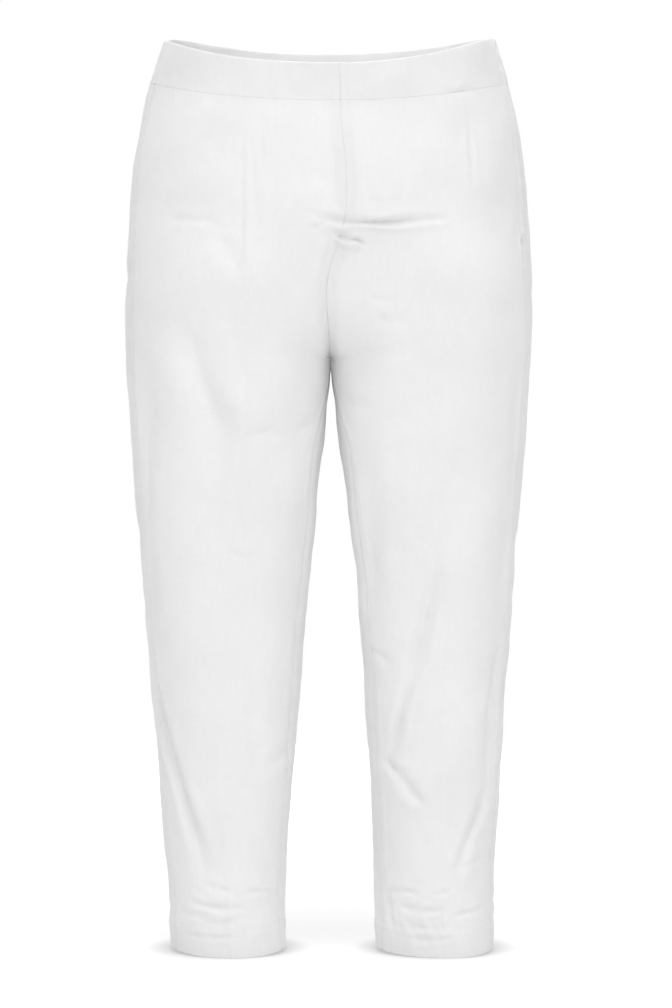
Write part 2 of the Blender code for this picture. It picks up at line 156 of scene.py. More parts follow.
BAND_CUT_BACK = (0.49, 0.093, 0.0424)

# Finishes, in metres
TWILL_RIB = 0.0015
TWILL_SLANT = -62  # degrees
WARP_SLUBS = (330.0, 62.0)  # to the metre, across the cloth and up it
WEFT_SLUBS = (75.0, 360.0)
TWILL_WHITE = "#F6F6F6"
TWILL_SHADE = "#F2F2F2"
TWILL_LET_THROUGH = 0.28

# Stage and camera, in metres
FLOOR_WHITE = "#A8A8A8"
FLOOR_GLOW = (0.38, 0.59, 0.87)  # at the hems, beyond their shadows, and far away
FLOOR_GAP = 0.0002
HEM_MIDDLES = ((-0.097, 0.0), (0.101, 0.0))
HEM_SHADOW = (0.054, 0.085)  # from the middle of a hem
GLOW_REACH = (1.0, 1.7)  # from the middle of the waist
FLOOR_HALF = 2.2
SURROUND_LIGHT = 0.34
# Softboxes: degrees round from the front, degrees up, watts
SOFTBOXES = (
    (-47, 17, 95), (46, 17, 107), (0, 60, 119), (-142, 24, 34), (146, 24, 30), (180, 35, 76), (0, 89, 182),
)
SOFTBOX_SIZE = (3.6, 3.6)
SOFTBOX_DISTANCE = 6.0
# The small light that lightens the inside of the back waistband
WAIST_LIGHT_SIZE = (0.2, 0.05)
WAIST_LIGHT_POWER = 0.085
WAIST_LIGHT_PLACE = (0.02, -0.035, -0.05)
WAIST_LIGHT_AIM = (0.02, 0.085, 0.015)
CAMERA_DISTANCE = 2.6
CAMERA_ACROSS = 0.0062
CAMERA_HEIGHT = -0.4222
CAMERA_CLIP = (0.05, 60.0)
SENSOR_WIDTH = 36.0
VIEW_HEIGHT = 0.9606

# Unevenness of the cloth, and how its seams show
WAVES = 36
UNEVENNESS = ((0.55, 55, 170, 3), (0.16, 16, 45, 4), (0.035, 8, 15, 5))  # height, wavelengths and seed
PHASE_STEP = 0.381966  # from one crease to the next, in turns
SEAM_VALLEY = 0.55
SEAM_VALLEY_WIDTH = 2.6
CENTRE_VALLEY = 0.1  # above the crotch
SEAM_PRINT = 0.55  # how far the seam allowance under the cloth lifts it
SEAM_PRINT_ENDS = (9.0, 2.5)  # from the seam, and over what width
CENTRE_PRINT = 0.25  # share of it above the crotch
PUCKER = 0.12
PUCKER_REACH = 8.0
PUCKER_WAVES = (9.0, 24.0)
PUCKER_WAVE_COUNT = 5
CENTRE_SEED, SIDE_SEED, LIP_SEED, HEM_SEED = 21, 22, 31, 41
FAR = 1000.0  # from any seam
HEM_PRINT = 0.45
HEM_PRINT_ENDS = (1.0, 3.0)
HEM_VALLEY = (0.3, 0.5, 1.5)  # along the stitches: depth, height above the hem's turned edge, and width
HEM_ROPE = (0.4, 0.5, 12.0)  # the hem's twist: height, slant and reach

# How finely the cloth is laid out
ROUND_POINTS = 241
ROUND_LEVELS = 150
ROUND_BEYOND = 10.0  # how far the levels reach above the waist and below the hems
LAST_CELL = 1.001  # keeps a place within the last cell of the levels and points
FRAME_STEPS = (0.006, 0.6)  # in v and height, to find which way the cloth faces
ROW_SAMPLES = 161
MAIN_COLUMNS = 106
FOLD_COLUMNS = 7
ALLOWANCE_COLUMNS = 3
FOLD_ROWS = 7
BAND_ROWS = (22, 16)  # of a waistband's outer and inner sides
# Rows of a panel: where they get closer together at the seat and at the hem, and how far apart they are
SEAT_ROW, HEM_ROW = 0.4, 1.87
HIP_ROWS_APART, SEAT_ROWS_APART, LEG_ROWS_APART = 3.0, 1.9, 3.3
HEM_ROWS = 46
TURNED_UP_ROWS = 9
EDGE_CROWDING = 0.45
BAND_OUTER_ROW, PANEL_OUTER_ROW, TAPE_OUTER_ROW = FOLD_ROWS + 8, 120, 40  # rows of the side that shows
FOLD = np.linspace(math.pi / 2, 0, FOLD_ROWS, endpoint=False)  # how far the rows of a seam's edge turn
BEND = np.linspace(0, math.pi, 2 * FOLD_ROWS)[1:]  # and those of a hem or of the waistband's top

# Outermost line of each side: height, out right, out left
SIDES = (
    (25, 156, 157), (0, 164.3, 164.2), (-20, 170, 170), (-50, 177.5, 177.6), (-80, 183.3, 182.6),
    (-120, 189.2, 187.7), (-160, 192, 191.2), (-210, 193.5, 193), (-285, 193.4, 190.8),
    (-320, 191.6, 188.2), (-380, 187.3, 184.2), (-440, 182.8, 180), (-500, 177.6, 174.9),
    (-560, 172.2, 169.5), (-620, 166.3, 165.4), (-680, 161.3, 161.7), (-740, 156.5, 158.3),
    (-800, 152.1, 156.2), (-840, 150.8, 155.6),
)
# Innermost line of each leg: height, out right, out left
INSEAMS = (
    (-285, -1, 1), (-320, 1.3, 4.2), (-380, 7.2, 11.2), (-440, 13.1, 18.6), (-500, 19, 25.5),
    (-560, 24.8, 30.8), (-620, 30, 35), (-680, 34.8, 38.3), (-740, 39.2, 41), (-800, 42.1, 43.2),
    (-840, 42.2, 44.1),
)
# Front crease: height, out right, out left
CREASES = (
    (25, 76, 75), (-50, 75, 79), (-135, 74.5, 87), (-225, 75.5, 94), (-325, 79.5, 100), (-418, 87, 104.7),
    (-500, 95.5, 107.7), (-560, 99.5, 108.3), (-630, 101.3, 108.3), (-700, 99.5, 108.2),
    (-765, 93.5, 108.3), (-840, 90.5, 108.5),
)
BACK_CREASES = (
    (25, 86, 86), (-135, 92, 93), (-325, 96, 98), (-560, 99, 100), (-840, 97, 99.5),
)
# Body: height, y of the centre front and centre back, squareness of the front and back (2 is an ellipse)
BODY = (
    (25, -98, 99, 2.1, 2.1), (0, -102, 103, 2.1, 2.1), (-20, -104, 107, 2.1, 2.15),
    (-50, -107, 114, 2.15, 2.2), (-80, -110, 121, 2.2, 2.25), (-120, -112.5, 128.5, 2.25, 2.35),
    (-160, -112, 132, 2.3, 2.4), (-200, -109, 130, 2.3, 2.4), (-240, -104, 124, 2.3, 2.4),
)
# Legs: height, y of the front and back creases
LEGS = (
    (-140, -110, 132), (-180, -108, 132), (-235, -104, 127), (-285, -100, 116), (-320, -97, 108.5),
    (-380, -92, 98), (-440, -87.5, 89.5), (-500, -83, 83.5), (-560, -79, 79.5), (-620, -75, 76.5),
    (-680, -71, 73.5), (-740, -67.5, 69.5), (-800, -64, 65.5), (-840, -62, 63.5),
)
# Height, y of the outermost and of the innermost lines
MIDDLES = (
    (25, 12, -24), (-120, 9, -24), (-285, 6, -30), (-440, 3, -26), (-640, 1, -14), (-840, 0, -4),
)
# Centre seams: height, x of the centre front seam and of the centre back seam
CENTRES = (
    (25, 9.5, -10), (-45, 10, -10), (-80, 11.5, -9), (-105, 14.5, -8), (-135, 16, -7), (-160, 14.5, -6),
    (-190, 6, -4), (-220, -2, -2), (-250, -1.5, 0), (-285, 1, 1),
)
# Side seams: height, v right, v left
SIDE_SEAMS = (
    (25, 1.75, 1.76), (-60, 1.76, 1.72), (-120, 1.76, 1.7), (-180, 1.75, 1.69), (-240, 1.74, 1.71),
    (-400, 1.72, 1.74), (-600, 1.71, 1.72), (-840, 1.7, 1.7),
)
# Creases. Each one has its half width, its depth, the ridges on the left and on the right of its path as
# shares of the depth, and its path. On the front and back a path is x and height, and round a leg it is v and
# height.
BODY_CREASES = (
    (FRONT, (
        (2.8, 3.8, 0.35, 0.5, -27, -156, -8, -160, 15, -164, 51, -165, 78, -162, 116, -160),
        (2.4, 1.7, 0.4, 0.2, -21, -171, -10, -168, 0, -165),
        (2.6, 3.2, 0.3, 0.6, 1, -173, 15, -179, 25, -181, 38, -186),
        (2.6, 1.6, 0.2, 0.4, 5, -186, 17, -190, 30, -190),
        (4.0, 0.62, 0.3, 0.2, 26, -147, 50, -147, 76, -145),
        (7.0, 0.62, 0.2, 0.3, -40, -120, -12, -126, 14, -124),
    )),
    # the darts of the back
    (BACK, (
        (2.0, 0.55, 0.4, 0.4, -67, -12, -66, -56, -64, -112),
        (2.0, 0.55, 0.4, 0.4, 66, -12, 65, -56, 63, -112),
    )),
    # drawn in at the seat
    (BACK, (
        (5.0, 2.47, 0.3, 0.4, -58, -212, -24, -226, 8, -231, 44, -222, 66, -208),
        (3.4, 2.09, 0.4, 0.3, -30, -246, -12, -252, 2, -250),
        (3.2, 1.9, 0.3, 0.4, 2, -262, 18, -268, 36, -264),
        (8.0, 1.52, 0.3, 0.3, -52, -66, -14, -74, 20, -72, 54, -62),
    )),
)
LEG_CREASES = (
    # right front
    (RIGHT, FRONT, (
        (14, 5.2, 0.25, 0.35, -140, -245, -123, -290, -114, -317, -105, -354, -101, -412),
        (3.6, 0.88, 0.3, 0.3, -152, -158, -127, -161, -98, -163),
        (6, 1.05, 0.3, 0.3, -107, -173, -86, -199, -81, -228),
        (4.5, 1.23, 0.4, 0.2, -83, -364, -65, -358, -50, -357, -37, -369),
        (4, 1.4, 0.5, 0.3, -95, -461, -84, -470, -68, -474),
        (4, 0.88, 0.2, 0.3, -91, -477, -62, -484),
        (6.5, 6.0, 0.2, 0.35, -177, -490, -171, -545, -163, -600, -153, -639, -143, -673, -130, -712,
            -117, -761, -106, -784),
        (8, 1.4, 0.2, 0.3, -74, -578, -69, -637, -65, -698),
        (2.9, 1.9, 0.3, 0.4, -136, -790, -120, -795, -99, -798, -76, -797),
        (2.5, 0.85, 0.4, 0.3, -124, -810, -104, -812, -83, -811),
        (3.4, 1.28, 0.3, 0.3, -118, -776, -100, -781, -87, -780),
        (9, 1.4, 0.3, 0.2, -167, -270, -164, -344, -157, -418),
        (9, 1.23, 0.3, 0.2, -22, -390, -28, -475, -35, -559),
        (2.6, 0.9, 0.3, 0.5, -142, -803, -128, -806, -110, -803),
        (2.4, 1.1, 0.4, 0.3, -82, -786, -66, -783, -52, -786),
        (2.4, 1.0, 0.3, 0.3, -140, -822, -112, -826, -80, -823),
    )),
    # left front
    (LEFT, FRONT, (
        (3.4, 0.88, 0.3, 0.3, 34, -233, 49, -236, 66, -234),
        (4, 0.88, 0.3, 0.3, 34, -251, 54, -255, 77, -254),
        (11, 2.63, 0.2, 0.1, 33, -353, 38, -418, 40, -512, 45, -573),
        (5.5, 4.6, 0.3, 0.15, 102, -455, 96, -490, 89, -529, 80, -567, 70, -604, 62, -638, 48, -680),
        (4.4, 2.9, 0.25, 0.25, 44, -654, 66, -675, 79, -693, 97, -707),
        (8, 4.4, 0.3, 0.15, 163, -530, 155, -590, 150, -640, 147, -690),
        (4.8, 3.0, 0.35, 0.2, 150, -672, 139, -712, 126, -742, 115, -780),
        (3, 1.5, 0.3, 0.4, 61, -796, 85, -801, 114, -798),
        (2.4, 1.1, 0.3, 0.3, 94, -787, 107, -783, 119, -777),
        (2.4, 0.8, 0.3, 0.3, 70, -815, 94, -817, 120, -815),
        (3.2, 1.4, 0.3, 0.4, 33, -559, 47, -563, 62, -575),
        (3, 1.52, 0.3, 0.3, 53, -779, 57, -801, 60, -823),
        (8, 1.58, 0.3, 0.1, 165, -391, 161, -456, 158, -540),
        (2.6, 0.9, 0.4, 0.4, 106, -45, 119, -42, 137, -36),
        (2.6, 1.3, 0.4, 0.4, 110, -806, 128, -803, 146, -800),
        (2.6, 1.2, 0.3, 0.4, 52, -786, 70, -783, 88, -787),
        (2.4, 0.8, 0.3, 0.3, 62, -825, 92, -828, 122, -824),
        (3, 1.1, 0.4, 0.3, 118, -762, 132, -757, 147, -750),
    )),
    # fine upright creases beside the pressed ones
    (RIGHT, FRONT, (
        (2.2, 1.1, 0.5, 0.5, -61, -48, -64, -144, -65, -245),
        (2.2, 1.2, 0.5, 0.5, -71, -70, -69, -163, -71, -263),
        (2.0, 0.8, 0.5, 0.5, -80, -61, -79, -153, -82, -236),
    )),
    (LEFT, FRONT, (
        (2.2, 0.9, 0.5, 0.5, 128, -45, 131, -96, 132, -147),
    )),
    # right back
    (RIGHT, BACK, (
        (14, 4.68, 0.25, 0.3, -28, -262, -62, -282, -100, -306, -138, -322),
        (8, 2.16, 0.3, 0.3, -40, -300, -72, -322, -112, -352),
        (10, 3.6, 0.35, 0.3, -52, -462, -84, -474, -118, -486, -150, -512),
        (5, 2.16, 0.4, 0.3, -62, -492, -90, -500, -116, -498),
        (7, 3.6, 0.3, 0.3, -62, -560, -84, -608, -104, -654, -126, -694),
        (5, 2.52, 0.4, 0.2, -128, -668, -112, -704, -92, -742),
        (3, 1.8, 0.3, 0.5, -72, -786, -96, -792, -124, -789),
        (2.4, 1.08, 0.3, 0.3, -80, -804, -108, -808, -130, -805),
        (6, 1.26, 0.3, 0.3, -150, -96, -142, -132, -120, -158),
    )),
    # left back
    (LEFT, BACK, (
        (14, 4.32, 0.3, 0.25, 26, -258, 58, -276, 96, -296, 134, -318),
        (7, 1.98, 0.3, 0.3, 44, -308, 74, -324, 108, -344),
        (10, 3.78, 0.3, 0.35, 50, -484, 84, -474, 118, -462, 148, -458),
        (5, 1.98, 0.3, 0.4, 66, -508, 92, -500, 122, -502),
        (7, 3.24, 0.3, 0.3, 134, -590, 112, -628, 90, -668, 74, -704),
        (5, 2.34, 0.2, 0.4, 70, -690, 90, -722, 112, -752),
        (3, 1.62, 0.5, 0.3, 70, -792, 98, -797, 128, -792),
        (2.4, 1.08, 0.3, 0.3, 82, -808, 106, -812, 130, -809),
        (6, 1.26, 0.3, 0.3, 148, -104, 138, -138, 118, -160),
    )),
    # long, beside the outer sides
    (RIGHT, ROUND, (
        (8, 2.0, 0.2, 0.3, 1.6, -225, 1.58, -300, 1.6, -400, 1.62, -500, 1.62, -600),
    )),
    (LEFT, ROUND, (
        (8, 1.6, 0.2, 0.3, 1.6, -270, 1.62, -380, 1.6, -480, 1.6, -560),
    )),
    # round the outer sides
    (RIGHT, ROUND, (
        (12, 1.2, 0.3, 0.3, 1.55, -188, 1.9, -206, 2.3, -212, 2.6, -204),
        (15, 1.2, 0.3, 0.3, 1.6, -438, 1.95, -452, 2.35, -470, 2.7, -476),
        (8.5, 0.9, 0.3, 0.3, 1.75, -520, 2.1, -516, 2.5, -508),
        (10, 1.0, 0.3, 0.3, 1.9, -664, 2.2, -694, 2.6, -716),
        (4.8, 0.8, 0.3, 0.5, 1.6, -800, 2.0, -803, 2.45, -799),
    )),
    (LEFT, ROUND, (
        (12, 1.0, 0.3, 0.3, 1.6, -214, 2.0, -222, 2.4, -218, 2.7, -208),
        (15, 1.2, 0.3, 0.3, 1.62, -470, 2.0, -464, 2.4, -470, 2.7, -478),
        (8.5, 0.8, 0.3, 0.3, 1.7, -502, 2.1, -512, 2.5, -514),
        (10, 1.0, 0.3, 0.3, 2.0, -640, 2.3, -668, 2.62, -700),
        (4.8, 0.8, 0.3, 0.5, 1.55, -792, 2.0, -797, 2.5, -796),
    )),
    # the inner sides
    (RIGHT, ROUND, (
        (6, 1.6, 0.3, 0.3, 0.22, -330, 0.45, -350, 0.7, -362),
        (5, 1.6, 0.3, 0.3, 0.2, -640, 0.45, -660, 0.7, -668),
        (6, 1.76, 0.3, 0.3, 3.3, -470, 3.55, -482, 3.8, -476),
        (5, 1.6, 0.3, 0.3, 3.3, -720, 3.55, -700, 3.8, -690),
    )),
    (LEFT, ROUND, (
        (6, 1.6, 0.3, 0.3, 0.2, -312, 0.42, -330, 0.66, -336),
        (6, 1.76, 0.3, 0.3, 3.3, -484, 3.55, -476, 3.8, -484),
        (5, 1.6, 0.3, 0.3, 3.3, -706, 3.55, -716, 3.8, -704),
    )),
)
CREASE_END = 0.32  # share of a crease's length over which each end fades
CREASE_SHARPNESS = 1.6
CREASE_UNEVEN = 0.28  # in depth, and how many waves of it run along a crease
CREASE_WAVES = 2.3
CREASE_WIDTH_UNEVEN = 0.2
CREASE_WIDTH_WAVES = 1.7
CREASE_REACH = 5  # in half widths, as the next two are
RIDGE_PLACE = 2.0  # of a ridge beside a crease
RIDGE_WIDTH = 1.15
CREASES_STOP = 14.0  # from a leg's innermost line, over which they fade out
PATH_STEPS = 7


def smooth(table, column):
    """A natural cubic spline of height through one column of a table."""
    heights = np.array([row[0] for row in reversed(table)], float)
    values = np.array([row[column] for row in reversed(table)], float)
    steps = np.diff(heights)
    slopes = np.diff(values) / steps
    last = len(heights) - 1
    system = np.eye(last + 1)
    wanted = np.zeros(last + 1)
    for i in range(1, last):
        system[i, i - 1 : i + 2] = steps[i - 1], 2 * (steps[i - 1] + steps[i]), steps[i]
        wanted[i] = 6 * (slopes[i] - slopes[i - 1])
    bends = np.linalg.solve(system, wanted)

    def at(z):
        z = np.clip(z, heights[0], heights[-1])
        i = np.clip(np.searchsorted(heights, z) - 1, 0, last - 1)
        low = (heights[i + 1] - z) / steps[i]
        high = 1 - low
        curve = (low**3 - low) * bends[i] + (high**3 - high) * bends[i + 1]
        return low * values[i] + high * values[i + 1] + curve * steps[i] ** 2 / 6

    return at


def run_along(steps):
    """Distance run after each step, from 0 on."""
    return np.concatenate([np.zeros_like(steps[..., :1]), np.cumsum(steps, axis=-1)], axis=-1)


def by_side(table):
    """A table's two columns as splines, by side."""
    return {RIGHT: smooth(table, 1), LEFT: smooth(table, 2)}


side_out = by_side(SIDES)
inseam_out = by_side(INSEAMS)
front_crease = by_side(CREASES)
back_crease = by_side(BACK_CREASES)
side_seam = by_side(SIDE_SEAMS)
body_front, body_back, front_square, back_square = (smooth(BODY, i) for i in (1, 2, 3, 4))
leg_front, leg_back = smooth(LEGS, 1), smooth(LEGS, 2)
side_y, inseam_y = smooth(MIDDLES, 1), smooth(MIDDLES, 2)
centre_front, centre_back = smooth(CENTRES, 1), smooth(CENTRES, 2)


def ease(t):
    """0 to 1 with level ends."""
    t = np.clip(t, 0.0, 1.0)
    return t * t * (3 - 2 * t)


def centre_and_crease(side, face, z):
    """How far out the centre seam and the crease are."""
    centre = side * np.where(face < 0, centre_front(z), centre_back(z))
    return centre, np.where(face < 0, front_crease[side](z), back_crease[side](z))


def fork_crossing(z):
    """How far a leg's inner side would pass the middle plane, in its own widths, were the legs not sewn."""
    above = np.maximum(z - CROTCH, 0.0)
    return FORK_OPENING * above + (above / FORK_HEIGHT) ** FORK_POWER


def turned(w, crease_angle):
    """The angle at w: 0 at the centre seam, crease_angle at the crease and a right angle at the side."""
    beyond = crease_angle + (w - 1) * (math.pi / 2 - crease_angle)
    return np.where(w < 1, w * crease_angle, beyond)


def rounded(angle, square):
    """Shares of a superellipse's half width and half depth at an angle. A square of 2 is an ellipse."""
    return np.abs(np.sin(angle)) ** (2 / square), np.abs(np.cos(angle)) ** (2 / square)


def body_section(side, face, w, z):
    """(out, y) on the body's level section: w is 0 at the centre seam, 1 at the crease and 2 at the side."""
    centre, crease = centre_and_crease(side, face, z)
    square = np.where(face < 0, front_square(z), back_square(z))
    middle = side_y(z)
    half_width = side_out[side](z) - centre
    half_depth = np.abs(np.where(face < 0, body_front(z), body_back(z)) - middle)
    angle = turned(w, np.arcsin(np.clip((crease - centre) / half_width, 0, 1) ** (square / 2)))
    across, deep = rounded(angle, square)
    return centre + half_width * across, middle + face * half_depth * deep


def leg_section(side, face, w, z):
    """(out, y) on a leg's level section, cut at the middle plane above the crotch."""
    centre, crease = centre_and_crease(side, face, z)
    crease_y = np.where(face < 0, leg_front(z), leg_back(z))
    crossing = 1 + fork_crossing(z)
    square = np.where(face < 0, LEG_SQUARE[FRONT], LEG_SQUARE[BACK])
    cut = np.arcsin((1 / crossing) ** (square / 2))
    inner_edge = np.where(z > CROTCH, centre, inseam_out[side](z))
    inner_reach = (crease - inner_edge) * crossing
    turn = np.maximum(1 - w, 0) * cut
    inner_out = crease - inner_reach * rounded(turn, square)[0]
    pointed = square - FORK_POINT * ease((z - FORK_POINT_ENDS) / (CROTCH - FORK_POINT_ENDS))
    inner_y = inseam_y(z) + (crease_y - inseam_y(z)) * rounded(turn, pointed)[1]
    swing = np.maximum(w - 1, 0) * math.pi / 2
    across, deep = rounded(swing, square)
    outer_out = crease + (side_out[side](z) - crease) * across
    outer_y = side_y(z) + (crease_y - side_y(z)) * deep
    return np.where(w < 1, inner_out, outer_out), np.where(w < 1, inner_y, outer_y)


def pressed_crease(side, face, out, z):
    """How far the pressed crease stands out of the round of the leg."""
    _, crease = centre_and_crease(side, face, z)
    strength = ease((CREASE_TOP - z) / (CREASE_TOP - CREASE_FULL))
    return CREASE_HEIGHT * strength * np.exp(-np.abs(out - crease) / CREASE_WIDTH)


def face_and_width(v):
    """Which face v is on, and w. Past 4, where a back panel reaches onto the front, v goes on from 0."""
    v = np.where(v > 4, v - 4, v)
    return np.where(v < 2, FRONT, BACK), np.where(v < 2, v, 4 - v)


def inseam_place(row):
    """v of a leg's inseam, which leaves the innermost line at the crotch."""
    return INSEAM_FORWARD * ease((row - 1) / INSEAM_SETTLES)


def shape(side, v, z):
    """Points of the cloth's outer face, with its pressed creases."""
    face, w = face_and_width(v)
    body = np.array(body_section(side, face, w, z))
    leg = np.array(leg_section(side, face, w, z))
    out, y = body + (leg - body) * ease((BODY_ENDS - z) / (BODY_ENDS - LEG_BEGINS))
    lift = pressed_crease(side, face, out, z)
    return np.stack([side * out, y + face * lift, z], axis=-1)


def waist_turn(v):
    """How far round the waist v is, as a share of its depth: 0 at the outermost line, 1 at a centre seam."""
    w = np.where(v < 2, v, 4 - v)
    return np.clip(np.cos(turned(w, np.where(v < 2, FRONT_CREASE_ANGLE, BACK_CREASE_ANGLE))), 0, 1)


def waist_edge(side, v):
    """Height of the top edge of the waistband."""
    turn = waist_turn(v)
    front = -WAIST_FRONT_DROP * turn ** WAIST_CURVE[side]
    back = WAIST_BACK_RISE * turn + WAIST_BACK_ARCH * np.sin(math.pi * turn**WAIST_ARCH_SKEW)
    return WAIST_SIDE + np.where(v < 2, front, back)


def waist_seam(side, v):
    """Height of the seam between the waistband and the panels."""
    turn = waist_turn(v)
    front = SEAM_SIDE - SEAM_FRONT_DROP * turn**SEAM_CURVE
    back = waist_edge(side, v) - BAND_SIDE + (BAND_SIDE - BAND_BACK) * turn
    return np.where(v < 2, front, back)


def crotch_seam_height(side, v_centre, share):
    """Height of the centre seam at a share of its length, from the waist seam to the crotch point."""
    z = np.linspace(waist_seam(side, np.array(v_centre)), CROTCH, PATH_POINTS)
    y = shape(side, np.full_like(z, v_centre), z)[:, 1]
    run = run_along(np.hypot(np.diff(y), np.diff(z)))
    return np.interp(share * run[-1], run, z)


def hem_dip(face, w):
    """How much lower the hem is than at a leg's sides."""
    dip = np.where(face < 0, HEM_DIP_FRONT, HEM_DIP_BACK)
    return dip * np.sin(math.pi * w / 2) ** HEM_DIP_CURVE


def row_heights(side, v, row):
    """Height of a row of cloth at v: row is 0 at the waist seam, 1 through the crotch and 2 at the hem."""
    upper = np.minimum(row, 1.0)
    lower = np.maximum(row - 1.0, 0.0)
    at_side = SEAM_SIDE + (CROTCH_ROW_SIDE - SEAM_SIDE) * upper + (HEM - CROTCH_ROW_SIDE) * lower
    seam_front = crotch_seam_height(side, 0.0, upper)
    seam_back = crotch_seam_height(side, 4.0, upper)
    face, w = face_and_width(v)
    at_centre = np.where(face < 0, seam_front, seam_back) + (HEM - CROTCH) * lower
    level = at_side + (at_centre - at_side) * np.maximum(1 - w, 0) ** CROTCH_ROW_CURVE
    along_waist = at_side + waist_seam(side, v) - SEAM_SIDE
    z = along_waist + (level - along_waist) * ease(upper / LEVEL_BELOW_WAIST)
    return z - hem_dip(face, w) * (np.maximum(lower - HEM_DIP_FROM, 0) / (1 - HEM_DIP_FROM)) ** 2


def rows_through(places):
    """A smooth path through a few places."""
    places = np.array(places, float).reshape(-1, 2)
    ends = (2 * places[0] - places[1], 2 * places[-1] - places[-2])
    held = np.vstack([ends[0], places, ends[1]])
    t = np.linspace(0, 1, PATH_STEPS, endpoint=False)[:, None]
    path = []
    for before, start, end, after in zip(held[:-3], held[1:-2], held[2:-1], held[3:]):
        bend = 2 * before - 5 * start + 4 * end - after
        twist = 3 * (start - end) + after - before
        path.append(start + 0.5 * t * ((end - before) + t * (bend + t * twist)))
    return np.vstack([*path, places[-1:]])


def cell(place, count):
    """The whole number and the rest of a place among count points."""
    place = np.clip(place, 0, count - LAST_CELL)
    whole = place.astype(int)
    return whole, place - whole


class RoundTheLeg:
    """Distance round one side of the garment from its outermost line, left to right as seen from outside."""

    def __init__(self, side):
        self.side = side
        self.v = np.linspace(0, 4, ROUND_POINTS)
        self.heights = np.linspace(HEM - ROUND_BEYOND, WAIST_SIDE + ROUND_BEYOND, ROUND_LEVELS)
        self.points = shape(side, *np.broadcast_arrays(self.v, self.heights[:, None]))
        run = run_along(np.linalg.norm(np.diff(self.points[..., :2], axis=1), axis=-1))
        self.across = side * (run - run[:, ROUND_POINTS // 2, None])

    def at(self, v, z):
        v = np.where(v > 4, v - 4, v)
        c, right = cell(v / 4 * (ROUND_POINTS - 1), ROUND_POINTS)
        r, up = cell((z - self.heights[0]) / (self.heights[1] - self.heights[0]), ROUND_LEVELS)
        lower = self.across[r, c] * (1 - right) + self.across[r, c + 1] * right
        upper = self.across[r + 1, c] * (1 - right) + self.across[r + 1, c + 1] * right
        return lower * (1 - up) + upper * up

    def place(self, face, across, z):
        """A crease's own place, given by x or v, as a distance round the leg."""
        if face == ROUND:
            return float(self.at(np.array(across, float), np.array(z, float)))
        half = self.v <= 2 if face == FRONT else self.v >= 2
        v = self.v[half]
        out = self.side * shape(self.side, v, np.full_like(v, z))[:, 0]
        order = np.argsort(out)
        return float(self.at(np.interp(self.side * across, out[order], v[order]), np.array(z, float)))


def beside_path(across, z, path):
    """Share of the path's length at its nearest point, and distance from it: positive on its left."""
    runs = np.diff(path, axis=0)
    lengths = np.hypot(runs[:, 0], runs[:, 1])
    nearest = np.full_like(across, np.inf)
    share, off = np.zeros_like(across), np.zeros_like(across)
    walked = 0.0
    for (x0, z0), (dx, dz), length in zip(path, runs / lengths[:, None], lengths):
        along = np.clip((across - x0) * dx + (z - z0) * dz, 0, length)
        gap_x, gap_z = across - x0 - along * dx, z - z0 - along * dz
        distance = np.hypot(gap_x, gap_z)
        nearer = distance < nearest
        nearest = np.where(nearer, distance, nearest)
        share = np.where(nearer, (walked + along) / lengths.sum(), share)
        off = np.where(nearer, np.sign(dx * gap_z - dz * gap_x) * distance, off)
        walked += length
    return share, off


def crease_lift(across, z, path, half_width, depth, ridge_left, ridge_right, phase):
    """How far one crease moves the cloth out: a trough with a soft ridge on each side, uneven along it."""
    reach = CREASE_REACH * half_width
    low, high = path.min(0) - reach, path.max(0) + reach
    near = (across > low[0]) & (across < high[0]) & (z > low[1]) & (z < high[1])
    lift = np.zeros_like(across)
    if near.any():
        share, off = beside_path(across[near], z[near], path)
        fade = ease(share / CREASE_END) * ease((1 - share) / CREASE_END)
        uneven = 1 + CREASE_UNEVEN * np.sin(2 * math.pi * (CREASE_WAVES * share + phase))
        wider = 1 + CREASE_WIDTH_UNEVEN * np.sin(2 * math.pi * (CREASE_WIDTH_WAVES * share + 2 * phase))
        t = off / half_width / wider
        trough = -np.exp(-(np.abs(t) ** CREASE_SHARPNESS))
        left = ridge_left * np.exp(-(((t - RIDGE_PLACE) / RIDGE_WIDTH) ** 2))
        right = ridge_right * np.exp(-(((t + RIDGE_PLACE) / RIDGE_WIDTH) ** 2))
        lift[near] = depth * fade * uneven * (trough + left + right)
    return lift


def numbered(groups):
    """The creases of a table's groups: where each is, its path, and its form with a phase of its own."""
    rows = [(where, row) for *where, rows in groups for row in rows]
    for number, (where, row) in enumerate(rows):
        yield where, rows_through(row[4:]), (*row[:4], PHASE_STEP * number % 1)


def crease_paths():
    """The legs' creases by side, with their paths as distance round the leg and height."""
    paths = {RIGHT: [], LEFT: []}
    for (side, face), dense, form in numbered(LEG_CREASES):
        path = np.array([(round_leg[side].place(face, across, z), z) for across, z in dense])
        paths[side].append((path, *form))
    return paths


round_leg = {side: RoundTheLeg(side) for side in (RIGHT, LEFT)}
leg_paths = crease_paths()


def unevenness(points, height, shortest, longest, seed):
    """A sum of plane waves through space, so that it runs on over every seam."""
    draw = np.random.default_rng(seed)
    total = np.zeros(points.shape[:-1])
    for _ in range(WAVES):
        way = draw.normal(size=3)
        way /= np.linalg.norm(way)
        wavelength = math.exp(draw.uniform(math.log(shortest), math.log(longest)))
        total += np.sin(points @ (way * 2 * math.pi / wavelength) + draw.uniform(0, 2 * math.pi))
    return height * total / math.sqrt(WAVES / 2)


def ripple(along, seed):
    """Uneven little waves along a seam, between about -1 and 1."""
    draw = np.random.default_rng(seed)
    waves = [(draw.uniform(*PUCKER_WAVES), draw.uniform(0, 2 * math.pi)) for _ in range(PUCKER_WAVE_COUNT)]
    total = sum(np.sin(2 * math.pi * along / wave + phase) for wave, phase in waves)
    return total / (PUCKER_WAVE_COUNT / 2)


def bump(distance, width):
    """1 at no distance, falling off softly over a width."""
    return np.exp(-((distance / width) ** 2))


